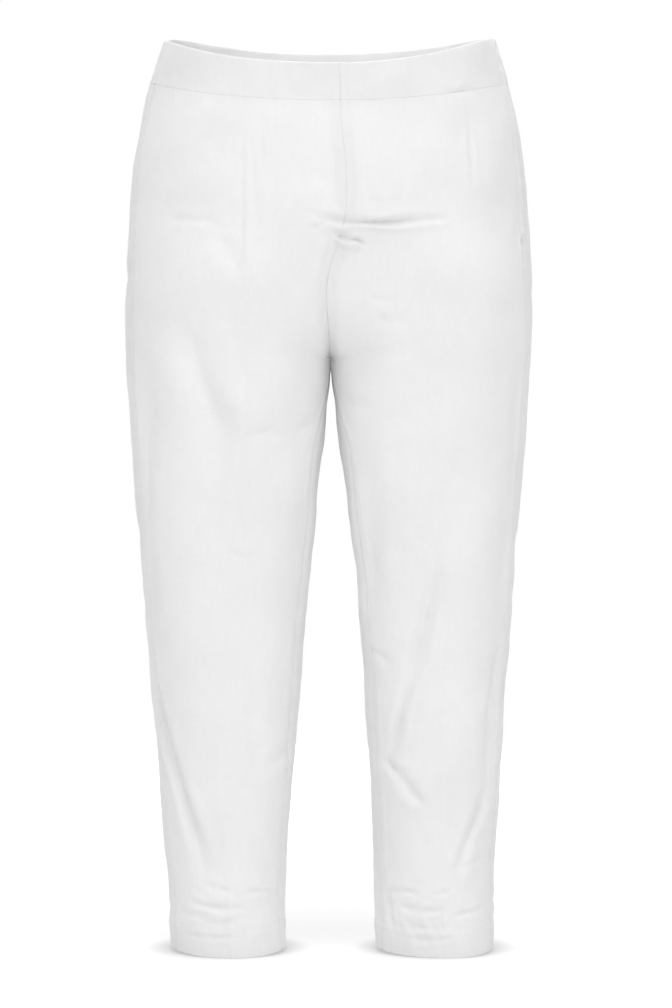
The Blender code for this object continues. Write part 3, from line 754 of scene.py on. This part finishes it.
def zip_closed(side, z):
    """1 along the zip in the left side seam and 0 below it."""
    return ease((z - ZIP_BOTTOM) / ZIP_ENDS_OVER) * (side == LEFT)


def above_hem_edge(v, z):
    return z - HEM + hem_dip(*face_and_width(v))


def relief(side, v, z, points, from_centre, from_side):
    """How far creases, seams and unevenness move the cloth out, given its distances from a piece's seams."""
    across = round_leg[side].at(v, z)
    lift = np.zeros_like(z)
    for path, *form in leg_paths[side]:
        lift += crease_lift(across, z, path, *form)
    ends = [np.abs(across - round_leg[side].at(np.full_like(v, end), z)) for end in (0, 4)]
    lift *= ease(np.minimum(*ends) / CREASES_STOP)
    for (face,), path, form in numbered(BODY_CREASES):
        here = crease_lift(points[..., 0], z, path, *form)
        lift += np.where(face_and_width(v)[0] == face, here, 0.0)
    coarse, middling, fine = (unevenness(points, *row) for row in UNEVENNESS)
    lift += coarse + middling
    lift += fine
    centre_valley = CENTRE_VALLEY + (SEAM_VALLEY - CENTRE_VALLEY) * (z < CROTCH)
    centre_print = SEAM_PRINT * np.where(z < CROTCH, 1.0, CENTRE_PRINT)
    for distance, valley, seam_print, seed in (
        (from_centre, centre_valley, centre_print, CENTRE_SEED),
        (from_side, SEAM_VALLEY, SEAM_PRINT, SIDE_SEED + side),
    ):
        distance = np.abs(distance)
        lift -= valley * bump(distance, SEAM_VALLEY_WIDTH)
        lift += seam_print * (1 - ease((distance - SEAM_PRINT_ENDS[0]) / SEAM_PRINT_ENDS[1]))
        lift += PUCKER * ripple(z, seed) * np.exp(-distance / PUCKER_REACH)
    lip = 1 + ZIP_LIP_UNEVEN * ripple(ZIP_LIP_STRETCH * z, LIP_SEED)
    lift += ZIP_LIP * lip * zip_closed(side, z) * bump(from_side, ZIP_LIP_WIDTH)
    if side == LEFT:
        away = np.hypot(from_side, z - ZIP_BOTTOM)
        depth, radius = ZIP_DIMPLE
        rim, rim_radius = ZIP_DIMPLE_RIM
        lift -= depth * bump(away, radius)
        lift += rim * bump(away - rim_radius, radius)
    above_turn = above_hem_edge(v, z) - HEM_TURN
    lift += HEM_PRINT * (1 - ease((above_turn + HEM_PRINT_ENDS[0]) / HEM_PRINT_ENDS[1]))
    depth, place, width = HEM_VALLEY
    lift -= depth * bump(above_turn - place, width)
    height, slant, reach = HEM_ROPE
    rope = ripple(across + slant * z, HEM_SEED + side) * bump(above_turn, reach)
    return lift + height * rope


def cloth_frame(side, v, z):
    """Unit vectors on the cloth: out of its face, and up it."""
    step_v, step_z = FRAME_STEPS
    last = np.where(z < CROTCH, 5, 4)
    across = shape(side, np.minimum(v + step_v, last), z) - shape(side, np.maximum(v - step_v, 0), z)
    up = shape(side, v, z + step_z) - shape(side, v, z - step_z)
    up /= np.linalg.norm(up, axis=-1, keepdims=True)
    out = side * np.cross(across, up)
    return out / np.linalg.norm(out, axis=-1, keepdims=True), up


def edge_columns(radius, turn, allowance):
    """Distance from the seam line and depth below the face of one edge's columns, for every row.

    They run from the inside of the seam allowance out to where the fold ends.
    """
    tucked = np.linspace(1, 0, ALLOWANCE_COLUMNS, endpoint=False)
    folded = np.linspace(1, 0, FOLD_COLUMNS)
    angle = turn[:, None] * np.concatenate([np.ones_like(tucked), folded])
    under = np.concatenate([tucked, np.zeros_like(folded)]) * allowance[:, None]
    radius = radius[:, None]
    return radius * (1 - np.sin(angle)) + under, radius * (1 - np.cos(angle))


def lay_out(side, centre_v, side_v, heights, plan):
    """The v, height, depth under an edge and distances from both seams of every point of a piece.

    heights gives the rows' height at any v. plan holds each row's radius at the inner and at the side edge,
    how far the edges turn and the width of their allowances.
    """
    inner_radius, side_radius, turn, allowance = plan
    share = np.linspace(0, 1, ROW_SAMPLES)
    v = centre_v[:, None] + (side_v - centre_v)[:, None] * share
    points = shape(side, v, heights(v))
    run = run_along(np.linalg.norm(np.diff(points, axis=1), axis=-1))
    width = run[:, -1:]
    first, first_depth = edge_columns(inner_radius, turn, allowance)
    last, last_depth = edge_columns(side_radius, turn, allowance)
    t = np.linspace(0, 1, MAIN_COLUMNS + 2)[1:-1]
    t = t - EDGE_CROWDING * np.sin(2 * math.pi * t) / (2 * math.pi)
    main = inner_radius[:, None] + t * (width - (inner_radius + side_radius)[:, None])
    from_centre = np.concatenate([first, main, width - last[:, ::-1]], axis=1)
    depth = np.concatenate([first_depth, np.zeros_like(main), last_depth[:, ::-1]], axis=1)
    v = np.array([np.interp(b, r, u) for b, r, u in zip(from_centre, run, v)])
    return v, heights(v), depth, from_centre, width - from_centre


def folded_points(side, v, z, spread, under, turned_rows, edge_up):
    """Points of a piece whose rows and columns both turn under.

    spread holds the distances from both seams, under the depth of the columns' own fold, turned_rows each
    row's turn and depth at the upper or lower edge, and edge_up which edge that is.
    """
    flat = shape(side, v, z)
    out, up = cloth_frame(side, v, z)
    lift = relief(side, v, z, flat, *spread)
    angle, depth, edge_up = (a[:, None, None] for a in (*turned_rows, edge_up))
    own_face = np.cos(angle) * out + np.sin(angle) * edge_up * up
    return flat + out * (lift[..., None] - depth) - own_face * under[..., None]


def panel_plan():
    """Row numbers of a panel with each row's turn and depth: seam edge, cloth, hem fold and turned-up hem."""
    top = EDGE_RADIUS * (1 - np.sin(FOLD)) / BODY_LENGTH
    start, end = EDGE_RADIUS / BODY_LENGTH, 2 - EDGE_RADIUS / LEG_LENGTH
    cloth = np.concatenate(
        [
            np.arange(start, SEAT_ROW, HIP_ROWS_APART / BODY_LENGTH),
            np.arange(SEAT_ROW, 1.0, SEAT_ROWS_APART / BODY_LENGTH),
            np.arange(1.0, HEM_ROW, LEG_ROWS_APART / LEG_LENGTH),
            np.linspace(HEM_ROW, end, HEM_ROWS),
        ]
    )
    bottom = 2 - EDGE_RADIUS * (1 - np.sin(BEND)) / LEG_LENGTH
    turned_up = 2 - np.linspace(EDGE_RADIUS, HEM_TURN, TURNED_UP_ROWS)[1:] / LEG_LENGTH
    row = np.concatenate([top, cloth, bottom, turned_up])
    none, full = np.zeros_like(cloth), np.full_like(turned_up, math.pi)
    angle = np.concatenate([FOLD, none, BEND, full])
    return row, angle, EDGE_RADIUS * (1 - np.cos(angle)), np.where(row < 1, 1.0, -1.0)


def panel(side, face):
    """Net of one leg panel, from the waist seam to the turned-up hem, and its cloth's own coordinates."""
    row, angle, depth, edge_up = panel_plan()
    seam_height = np.interp(row, [0, 1, 2], [SEAM_SIDE, CROTCH_ROW_SIDE, HEM])
    above_turn = (2 - row) * LEG_LENGTH - HEM_TURN - ALLOWANCE_ENDS[0]
    free = ease(above_turn / ALLOWANCE_ENDS[1]) * (angle < BARELY_TURNED)
    narrow = 1 - CROTCH_NARROWS[0] * bump(row - 1, CROTCH_NARROWS[1])
    inner_radius = EDGE_RADIUS + (LEG_SEAM_RADIUS - EDGE_RADIUS) * ease((row - 1) / INSEAM_SETTLES)
    side_radius = LEG_SEAM_RADIUS + (ZIP_RADIUS - LEG_SEAM_RADIUS) * zip_closed(side, seam_height)
    allowance = ALLOWANCE_LEAST + ALLOWANCE * free * narrow
    plan = (inner_radius, side_radius, math.pi / 2 * (1 + free), allowance)

    def heights(v):
        return row_heights(side, v, np.broadcast_to(row[:, None], v.shape))

    centre_v = inseam_place(row) + (0 if face == FRONT else 4)
    v, z, under, *spread = lay_out(side, centre_v, side_seam[side](seam_height), heights, plan)
    net = folded_points(side, v, z, spread, under, (angle, depth), edge_up)
    along = run_along(np.abs(np.diff(seam_height)))
    return net, np.stack([spread[0], np.broadcast_to(-along[:, None], v.shape)], axis=-1)


def band_plan():
    """Rows of a waistband from its seam over its top fold and down its inner side."""
    outer, inner = np.linspace(0, 1, BAND_ROWS[0]), np.linspace(0, 1, BAND_ROWS[1])[1:]
    no_fold, no_outer, no_bend, no_inner = (0 * part for part in (FOLD, outer, BEND, inner))
    fold_in, bend_in = 1 - np.sin(FOLD), 1 - np.sin(BEND)
    columns = (
        (no_fold, outer, no_bend + 1, 1 - inner),
        (EDGE_RADIUS * fold_in, EDGE_RADIUS * (1 - outer), no_bend, -FACING_BELOW * inner),
        (no_fold, BAND_RADIUS * outer, BAND_RADIUS * bend_in, BAND_RADIUS * (1 - inner)),
        (FOLD, no_outer, BEND, no_inner + math.pi),
        (no_fold + EDGE_RADIUS, no_outer, no_bend + BAND_RADIUS, no_inner + BAND_RADIUS),
        (no_fold - 1, no_outer, no_bend + 1, no_inner + 1),
    )
    share, bottom, top, angle, radius, edge_up = (np.concatenate(column) for column in columns)
    return share, bottom, top, angle, radius * (1 - np.cos(angle)), edge_up


def band(side, face):
    """Net of half a waistband, from the centre to the side seam, and its cloth's own coordinates."""
    share, bottom, top, angle, depth, edge_up = band_plan()
    level = WAIST_SIDE - BAND_SIDE * (1 - share)
    side_radius = EDGE_RADIUS + (ZIP_RADIUS - EDGE_RADIUS) * zip_closed(side, level)

    def heights(v):
        low, high = waist_seam(side, v), waist_edge(side, v)
        return low + (high - low) * share[:, None] + bottom[:, None] - top[:, None]

    inner_radius, turn, allowance, centre_v = (
        np.full_like(share, value)
        for value in (EDGE_RADIUS, math.pi / 2, ALLOWANCE_LEAST, 0 if face == FRONT else 4)
    )
    plan = (inner_radius, side_radius, turn, allowance)
    v, z, under, *spread = lay_out(side, centre_v, side_seam[side](level), heights, plan)
    from_centre, from_side = spread
    if face == BACK:  # the band runs on over the centre back, with no seam
        under = under * (from_side < from_centre)
        from_centre = from_centre + FAR
    net = folded_points(side, v, z, (from_centre, from_side), under, (angle, depth), edge_up)
    along = run_along(np.linalg.norm(np.diff(net[:, MAIN_COLUMNS // 2], axis=0), axis=-1))
    return net, np.stack([spread[0], np.broadcast_to(along[:, None], v.shape)], axis=-1)


def back_band():
    """Net of the back waistband, from the right side seam round to the left."""
    tucked = ALLOWANCE_COLUMNS + FOLD_COLUMNS
    right, right_cloth = (a[:, tucked:][:, ::-1] for a in band(RIGHT, BACK))
    left, left_cloth = (a[:, tucked:] for a in band(LEFT, BACK))
    right_cloth = right_cloth * (-1, 1)
    return np.concatenate([right, left], axis=1), np.concatenate([right_cloth, left_cloth], axis=1)


# Meshes


def faces_out(net, row):
    """Whether a net's quads, taken in their own order, face out of the garment at a row of its outer face."""
    column = net.shape[1] // 2
    across = net[row, column + 1] - net[row, column]
    along = net[row + 1, column] - net[row, column]
    inside = np.array([net[row, :, 0].mean(), 0.0, net[row, column, 2]])
    return np.dot(np.cross(along, across), net[row, column] - inside) > 0


def place_in_scene(name, data):
    made = bpy.data.objects.new(name, data)
    bpy.context.scene.collection.objects.link(made)
    return made


def sew_piece(name, net, cloth, outer_row, thickness, material):
    """A piece of cloth through a net, with its thickness on the side that doesn't show."""
    rows, columns, _ = net.shape
    r, c = np.mgrid[: rows - 1, : columns - 1]
    corner = (r * columns + c).ravel()
    quads = np.stack([corner, corner + columns, corner + columns + 1, corner + 1], axis=1)
    if not faces_out(net, outer_row):
        quads = quads[:, ::-1]
    mesh = bpy.data.meshes.new(name)
    mesh.from_pydata((net.reshape(-1, 3) * MM).tolist(), [], quads.tolist())
    lay = mesh.uv_layers.new(name="cloth")
    corners = np.empty(len(mesh.loops), np.int32)
    mesh.loops.foreach_get("vertex_index", corners)
    lay.data.foreach_set("uv", (cloth.reshape(-1, 2)[corners] * MM).astype(np.float32).ravel())
    mesh.shade_smooth()
    mesh.materials.append(material)
    piece = place_in_scene(name, mesh)
    wall = piece.modifiers.new("thickness", "SOLIDIFY")
    wall.thickness = thickness * MM
    wall.offset = -1.0
    return piece


def zip_tape_net():
    """Net of the zip's tape, behind the left side seam from the waistband's edge to below the zip's end."""
    z = np.linspace(WAIST_SIDE - TAPE_ENDS[0], ZIP_BOTTOM - TAPE_ENDS[1], TAPE_ROWS)[:, None]
    middle = side_seam[LEFT](z)
    span = np.linspace(-TAPE_WIDTH / 2, TAPE_WIDTH / 2, TAPE_COLUMNS)
    width = round_leg[LEFT].at(middle + TAPE_NEAR, z) - round_leg[LEFT].at(middle - TAPE_NEAR, z)
    v = middle + span * (2 * TAPE_NEAR) / width
    z = np.broadcast_to(z, v.shape)
    out, _ = cloth_frame(LEFT, v, z)
    bow = TAPE_BOW * (span / span[-1]) ** 2
    net = shape(LEFT, v, z) - out * (TAPE_DEPTH + bow)[..., None]
    return net, np.stack([np.broadcast_to(span, v.shape), z], axis=-1)


def linear(code):
    """A linear colour from an sRGB hex value."""
    shares = [int(code[i : i + 2], 16) / 255 for i in (1, 3, 5)]
    return [s / 12.92 if s <= 0.04045 else ((s + 0.055) / 1.055) ** 2.4 for s in shares] + [1.0]


def fill(tree, node, inputs):
    """Sets or links a node's inputs, by their sockets' names or numbers. A node gives its first output."""
    for name, value in inputs.items():
        named = (s for s in node.inputs if s.enabled and s.name == name)
        socket = node.inputs[name] if isinstance(name, int) else next(named)
        if isinstance(value, bpy.types.Node):
            value = next(s for s in value.outputs if s.enabled)
        if isinstance(value, bpy.types.NodeSocket):
            tree.links.new(value, socket)
        else:
            socket.default_value = value


def add(tree, kind, inputs=None, stops=(), **settings):
    """Adds a node with its settings, inputs and colour stops. With no "Node" in its kind it is a shader's."""
    node = tree.nodes.new(kind if "Node" in kind else "ShaderNode" + kind)
    for name, value in settings.items():
        setattr(node, name, value)
    for number, (position, code) in enumerate(stops):
        node.color_ramp.elements[number].position = position
        node.color_ramp.elements[number].color = linear(code)
    fill(tree, node, inputs or {})
    return node


def repeated(name, path, closed, pitch, size, side_way, seed, material):
    """Small rounded bodies, such as stitches or a coil's turns, evenly spaced along a path in millimetres."""
    count = len(path)
    edges = [(i, (i + 1) % count) for i in range(count if closed else count - 1)]
    mesh = bpy.data.meshes.new(name + "_line")
    mesh.from_pydata((path * MM).tolist(), edges, [])
    line = place_in_scene(name + "_line", mesh)

    tree = bpy.data.node_groups.new(name, "GeometryNodeTree")
    tree.interface.new_socket("Line", in_out="INPUT", socket_type="NodeSocketGeometry")
    given = {}
    for label, kind, value in (
        ("Pitch", "NodeSocketFloat", pitch * MM),
        ("Size", "NodeSocketVector", [s * MM for s in size]),
        ("Side way", "NodeSocketVector", side_way),
        ("Seed", "NodeSocketInt", seed),
    ):
        given[tree.interface.new_socket(label, in_out="INPUT", socket_type=kind).identifier] = value
    tree.interface.new_socket("Bodies", in_out="OUTPUT", socket_type="NodeSocketGeometry")
    group = add(tree, "NodeGroupInput").outputs
    curve = add(tree, "GeometryNodeMeshToCurve", {"Mesh": group["Line"]})
    even = add(tree, "GeometryNodeResampleCurve", {"Curve": curve, "Length": group["Pitch"]}, mode="LENGTH")
    tangent = add(tree, "GeometryNodeInputTangent")
    along = add(tree, "FunctionNodeAlignRotationToVector", {"Vector": tangent}, axis="X")
    side_up = {"Rotation": along, "Vector": group["Side way"]}
    lying = add(tree, "FunctionNodeAlignRotationToVector", side_up, axis="Y", pivot_axis="X")
    uneven = {"Min": [BODY_SIZES[0]] * 3, "Max": [BODY_SIZES[1]] * 3, "Seed": group["Seed"]}
    vary = add(tree, "FunctionNodeRandomValue", uneven, data_type="FLOAT_VECTOR")
    scale = add(tree, "VectorMath", {0: group["Size"], 1: vary}, operation="MULTIPLY")
    body = add(tree, "GeometryNodeMeshUVSphere", {"Segments": 8, "Rings": 6, "Radius": 0.5})
    soft = add(tree, "GeometryNodeSetShadeSmooth", {"Geometry": body})
    bodies = {"Points": even, "Instance": soft, "Rotation": lying, "Scale": scale}
    placed = add(tree, "GeometryNodeInstanceOnPoints", bodies)
    real = add(tree, "GeometryNodeRealizeInstances", {"Geometry": placed})
    coated = add(tree, "GeometryNodeSetMaterial", {"Geometry": real, "Material": material})
    add(tree, "NodeGroupOutput", {"Bodies": coated})

    repeat = line.modifiers.new("repeat", "NODES")
    repeat.node_group = tree
    for identifier, value in given.items():
        repeat[identifier] = value
    bpy.context.view_layer.update()
    plain = bpy.data.meshes.new_from_object(line.evaluated_get(bpy.context.evaluated_depsgraph_get()))
    line.modifiers.remove(repeat)
    bpy.data.objects.remove(line)
    return place_in_scene(name, plain)


# Finishes


def new_finish(name):
    material = bpy.data.materials.new(name)
    material.use_nodes = True
    return material, material.node_tree, material.node_tree.nodes["Principled BSDF"]


def white_cotton_twill():
    """Bleached cotton twill, woven and washed: matt, with faint slanting ribs, uneven yarns and a little
    painted shade in the grooves of its weave.
    """
    material, tree, shader = new_finish("white_cotton_twill")
    cloth = add(tree, "UVMap", uv_map="cloth")
    place = add(tree, "TexCoord").outputs["Object"]
    # the slant of the twill: its ribs are really 0.6 mm apart, drawn 1.5 mm apart to show
    turn = (0, 0, math.radians(TWILL_SLANT))
    ways = {"Vector": cloth, "Rotation": turn, "Scale": (TWILL_RIB, TWILL_RIB, 1)}
    slant = add(tree, "Mapping", ways, vector_type="TEXTURE")
    wander = add(tree, "TexNoise", {"Vector": place, "Scale": 240.0, "Detail": 2.0})
    waves = {"Vector": slant, "Scale": 0.314159, "Distortion": 0.6, "Detail": 1.0, "Detail Scale": 1.5}
    ribs = add(tree, "TexWave", waves, wave_type="BANDS", bands_direction="X").outputs["Fac"]
    # slubs: thicker and thinner lengths of yarn, drawn 3 mm wide to show, longer up the cloth than across it
    slubs = []
    for per_metre in WARP_SLUBS, WEFT_SLUBS:
        yarn = add(tree, "Mapping", {"Vector": cloth, "Scale": (*per_metre, 1.0)})
        slubs.append(add(tree, "TexNoise", {"Vector": yarn, "Scale": 1.0, "Detail": 1.5}))
    both_ways = add(tree, "Mix", {"Factor": 0.36, "A": slubs[0], "B": slubs[1]}, data_type="FLOAT")
    height = add(tree, "Mix", {"Factor": 0.9, "A": ribs, "B": both_ways}, data_type="FLOAT")
    height = add(tree, "Math", {0: wander, 1: 0.08, 2: height}, operation="MULTIPLY_ADD")
    weave = add(tree, "Bump", {"Strength": 0.42, "Distance": 0.00026, "Height": height})
    patches = add(tree, "TexNoise", {"Vector": place, "Scale": 11.0, "Detail": 4.0, "Roughness": 0.6})
    tone = add(tree, "ValToRGB", {"Fac": patches}, ((0.3, TWILL_SHADE), (0.7, TWILL_WHITE)))
    # painted shade: the colour is up to 3% darker where the weave's bump height is low, in the grooves
    # between its ribs and along thin slubs
    groove_shade_range = {"Value": height, "From Min": 0.35, "From Max": 0.72, "To Min": 0.97, "To Max": 1.0}
    groove_shade = add(tree, "MapRange", groove_shade_range)
    colour = add(tree, "VectorMath", {0: tone, "Scale": groove_shade}, operation="SCALE")
    matt = {"Roughness": 0.86, "Specular IOR Level": 0.22, "Sheen Weight": 0.06, "Sheen Roughness": 0.55}
    fill(tree, shader, {**matt, "Base Color": colour, "Normal": weave})
    # one layer of it is thin enough for some of the light behind it to come through
    through = add(tree, "BsdfTranslucent", {"Color": colour})
    both = add(tree, "MixShader", {0: TWILL_LET_THROUGH, 1: shader, 2: through})
    fill(tree, tree.nodes["Material Output"], {"Surface": both})
    return material


def polyester_thread():
    """Spun polyester sewing thread: white, slightly darker than the cloth and with a soft gloss."""
    material, tree, shader = new_finish("polyester_thread")
    place = add(tree, "TexCoord").outputs["Object"]
    twist = add(tree, "TexNoise", {"Vector": place, "Scale": 1800.0, "Detail": 2.0})
    tone = add(tree, "ValToRGB", {"Fac": twist}, ((0.0, "#E4E4E1"), (1.0, "#F3F3F1")))
    ply = add(tree, "Bump", {"Strength": 0.3, "Distance": 0.0001, "Height": twist})
    soft = {"Roughness": 0.55, "Specular IOR Level": 0.35, "Sheen Weight": 0.1}
    fill(tree, shader, {**soft, "Base Color": tone, "Normal": ply})
    return material


def knitted_zip_tape():
    """Warp-knitted polyester tape: flat white, with fine upright wales that are drawn 1 mm apart to show, and
    painted shade between them.
    """
    material, tree, shader = new_finish("knitted_zip_tape")
    cloth = add(tree, "UVMap", uv_map="cloth")
    waves = {"Vector": cloth, "Scale": 314.0, "Distortion": 0.4, "Detail": 2.0, "Detail Scale": 3.0}
    wales = add(tree, "TexWave", waves, wave_type="BANDS", bands_direction="X").outputs["Fac"]
    # painted shade: the colour is darker where the wales' bump is low, between the wales
    tone = add(tree, "ValToRGB", {"Fac": wales}, ((0.0, "#DCDCD9"), (1.0, "#EBEBE8")))
    knit = add(tree, "Bump", {"Strength": 0.4, "Distance": 0.0002, "Height": wales})
    fill(tree, shader, {"Roughness": 0.7, "Specular IOR Level": 0.3, "Base Color": tone, "Normal": knit})
    return material


def nylon_coil():
    """The zip's coil, drawn nylon monofilament: smooth, slightly clear and glossy."""
    material, tree, shader = new_finish("nylon_coil")
    place = add(tree, "TexCoord").outputs["Object"]
    haze = add(tree, "TexNoise", {"Vector": place, "Scale": 600.0})
    tone = add(tree, "ValToRGB", {"Fac": haze}, ((0.0, "#DEDEDB"), (1.0, "#EEEEEC")))
    glossy = {"Roughness": 0.32, "IOR": 1.53, "Specular IOR Level": 0.5, "Coat Weight": 0.1}
    fill(tree, shader, {**glossy, "Base Color": tone})
    return material


# The stage


def set_stage(floor_height):
    """A matt white floor that glows, as painted light. The glow is lowest round the hems, so that their
    shadows show there, and rises beyond them and far away, so that the floor meets the surround unseen.
    """
    material, tree, shader = new_finish("matt_white_floor")
    place = add(tree, "TexCoord").outputs["Object"]
    from_hems = [
        add(tree, "VectorMath", {0: place, 1: (*middle, floor_height)}, operation="DISTANCE")
        for middle in HEM_MIDDLES
    ]
    nearest = add(tree, "Math", dict(enumerate(from_hems)), operation="MINIMUM")
    away = add(tree, "VectorMath", {0: place}, operation="LENGTH")
    # painted light: the floor's emission, low within the hems' shadows and higher beyond them and far away
    glow = FLOOR_GLOW[0]
    for distance, (near, far), beyond in (
        (nearest, HEM_SHADOW, FLOOR_GLOW[1]),
        (away, GLOW_REACH, FLOOR_GLOW[2]),
    ):
        step = {"Value": distance, "From Min": near, "From Max": far, "To Min": glow, "To Max": beyond}
        glow = add(tree, "MapRange", step, interpolation_type="SMOOTHSTEP")
    matt = {"Base Color": linear(FLOOR_WHITE), "Roughness": 0.9, "Specular IOR Level": 0.0}
    fill(tree, shader, {**matt, "Emission Color": (1, 1, 1, 1), "Emission Strength": glow})
    mesh = bpy.data.meshes.new("floor")
    corners = ((-1, -1), (1, -1), (1, 1), (-1, 1))
    mesh.from_pydata([(x * FLOOR_HALF, y * FLOOR_HALF, floor_height) for x, y in corners], [], [(0, 1, 2, 3)])
    mesh.materials.append(material)
    place_in_scene("floor", mesh)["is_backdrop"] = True


def surround():
    """An even white surround. It looks white, and lights the cloth a little less than that."""
    world = bpy.data.worlds.new("surround")
    bpy.context.scene.world = world
    world.use_nodes = True
    tree = world.node_tree
    tree.nodes.clear()
    seen = add(tree, "LightPath").outputs["Is Camera Ray"]
    lit, white = (
        add(tree, "Background", {"Color": (1, 1, 1, 1), "Strength": strength})
        for strength in (SURROUND_LIGHT, 1.0)
    )
    both = add(tree, "MixShader", {0: seen, 1: lit, 2: white})
    add(tree, "OutputWorld", {"Surface": both})


def soft_light(name, size, power, place, way):
    """A soft light that the camera doesn't see, with its back turned the way given."""
    light = bpy.data.lights.new(name, "AREA")
    light.shape = "RECTANGLE"
    light.size, light.size_y = size
    light.energy = power
    lamp = place_in_scene(name, light)
    lamp.location = place
    lamp.rotation_euler = way.to_track_quat("Z", "Y").to_euler()
    lamp.visible_camera = False


def set_lights():
    """Large softboxes all round and above, and a small light in the hollow of the waist."""
    for azimuth, elevation, power in SOFTBOXES:
        turn, rise = math.radians(azimuth), math.radians(elevation)
        level = SOFTBOX_DISTANCE * math.cos(rise)
        way = Vector((level * math.sin(turn), -level * math.cos(turn), SOFTBOX_DISTANCE * math.sin(rise)))
        place = way + Vector((0, 0, CAMERA_HEIGHT))
        soft_light(f"softbox_{azimuth}_{elevation}", SOFTBOX_SIZE, power, place, way)
    way = Vector(WAIST_LIGHT_PLACE) - Vector(WAIST_LIGHT_AIM)
    soft_light("waist_light", WAIST_LIGHT_SIZE, WAIST_LIGHT_POWER, WAIST_LIGHT_PLACE, way)


def set_camera():
    lens = bpy.data.cameras.new("camera")
    lens.sensor_width = SENSOR_WIDTH
    lens.lens = SENSOR_WIDTH * CAMERA_DISTANCE / VIEW_HEIGHT
    lens.clip_start, lens.clip_end = CAMERA_CLIP
    camera = place_in_scene("camera", lens)
    camera.location = (CAMERA_ACROSS, -CAMERA_DISTANCE, CAMERA_HEIGHT)
    camera.rotation_euler = (math.pi / 2, 0, 0)
    bpy.context.scene.camera = camera
    bpy.context.scene.view_settings.view_transform = "Standard"


# The trousers


def hem_seam_path(side):
    """Where the hem is stitched down, all the way round a leg."""
    v = np.linspace(0, 4, ROUND_POINTS)[:-1]
    z = HEM + HEM_TURN + STITCH_LINE - above_hem_edge(v, np.zeros_like(v) + HEM)
    from_seam = np.full_like(v, FAR)
    points = shape(side, v, z)
    out, _ = cloth_frame(side, v, z)
    return points + out * (relief(side, v, z, points, from_seam, from_seam) + STITCH_OUT)[:, None]


def zip_coil_path():
    z = np.linspace(WAIST_SIDE - COIL_ENDS[0], ZIP_BOTTOM - COIL_ENDS[1], COIL_POINTS)
    v = side_seam[LEFT](z)
    out, _ = cloth_frame(LEFT, v, z)
    return shape(LEFT, v, z) - out * (TAPE_DEPTH + TAPE + COIL_SIZE[2] / 2)


def make_trousers():
    twill, thread = white_cotton_twill(), polyester_thread()
    sides = ((RIGHT, "right"), (LEFT, "left"))

    def sewn(node, net_and_cloth, outer_row):
        return sew_piece(f"{node}_cloth", *net_and_cloth, outer_row, TWILL, twill)

    bands = []
    for side, side_name in sides:
        node = f"waistband_front_{side_name}"
        bands.append((sewn(node, band(side, FRONT), BAND_OUTER_ROW), node, *BAND_CUT_FRONT[side]))
    bands.append((sewn("waistband_back", back_band(), BAND_OUTER_ROW), "waistband_back", *BAND_CUT_BACK))
    panels = []
    for face, face_name, cut in ((FRONT, "front", FRONT_CUT), (BACK, "back", BACK_CUT)):
        for side, side_name in sides:
            node = f"{face_name}_{side_name}"
            panels.append((sewn(node, panel(side, face), PANEL_OUTER_ROW), node, *cut))
    hems = []
    for side, name in sides:
        line = (hem_seam_path(side), True, STITCH_PITCH, STITCH_SIZE, (0, 0, 1), HEM_STITCH_SEED + side)
        hems.append(repeated(f"hem_stitches_{name}", *line, thread))
    tape = sew_piece("zip_tape_cloth", *zip_tape_net(), TAPE_OUTER_ROW, TAPE, knitted_zip_tape())
    turns = (zip_coil_path(), False, COIL_PITCH, COIL_SIZE, (0, 1, 0), COIL_SEED)
    coil = repeated("zip_coil", *turns, nylon_coil())

    for piece, node, *_ in bands + panels:
        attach(piece, "root")
        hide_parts(node)
    for hem in hems:
        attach(hem, "root")
    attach(tape, "root")
    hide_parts("side_zip")
    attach(coil, "root")


make_trousers()
low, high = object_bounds()
set_stage(low.z - FLOOR_GAP)
surround()
set_lights()
set_camera()

low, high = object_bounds()
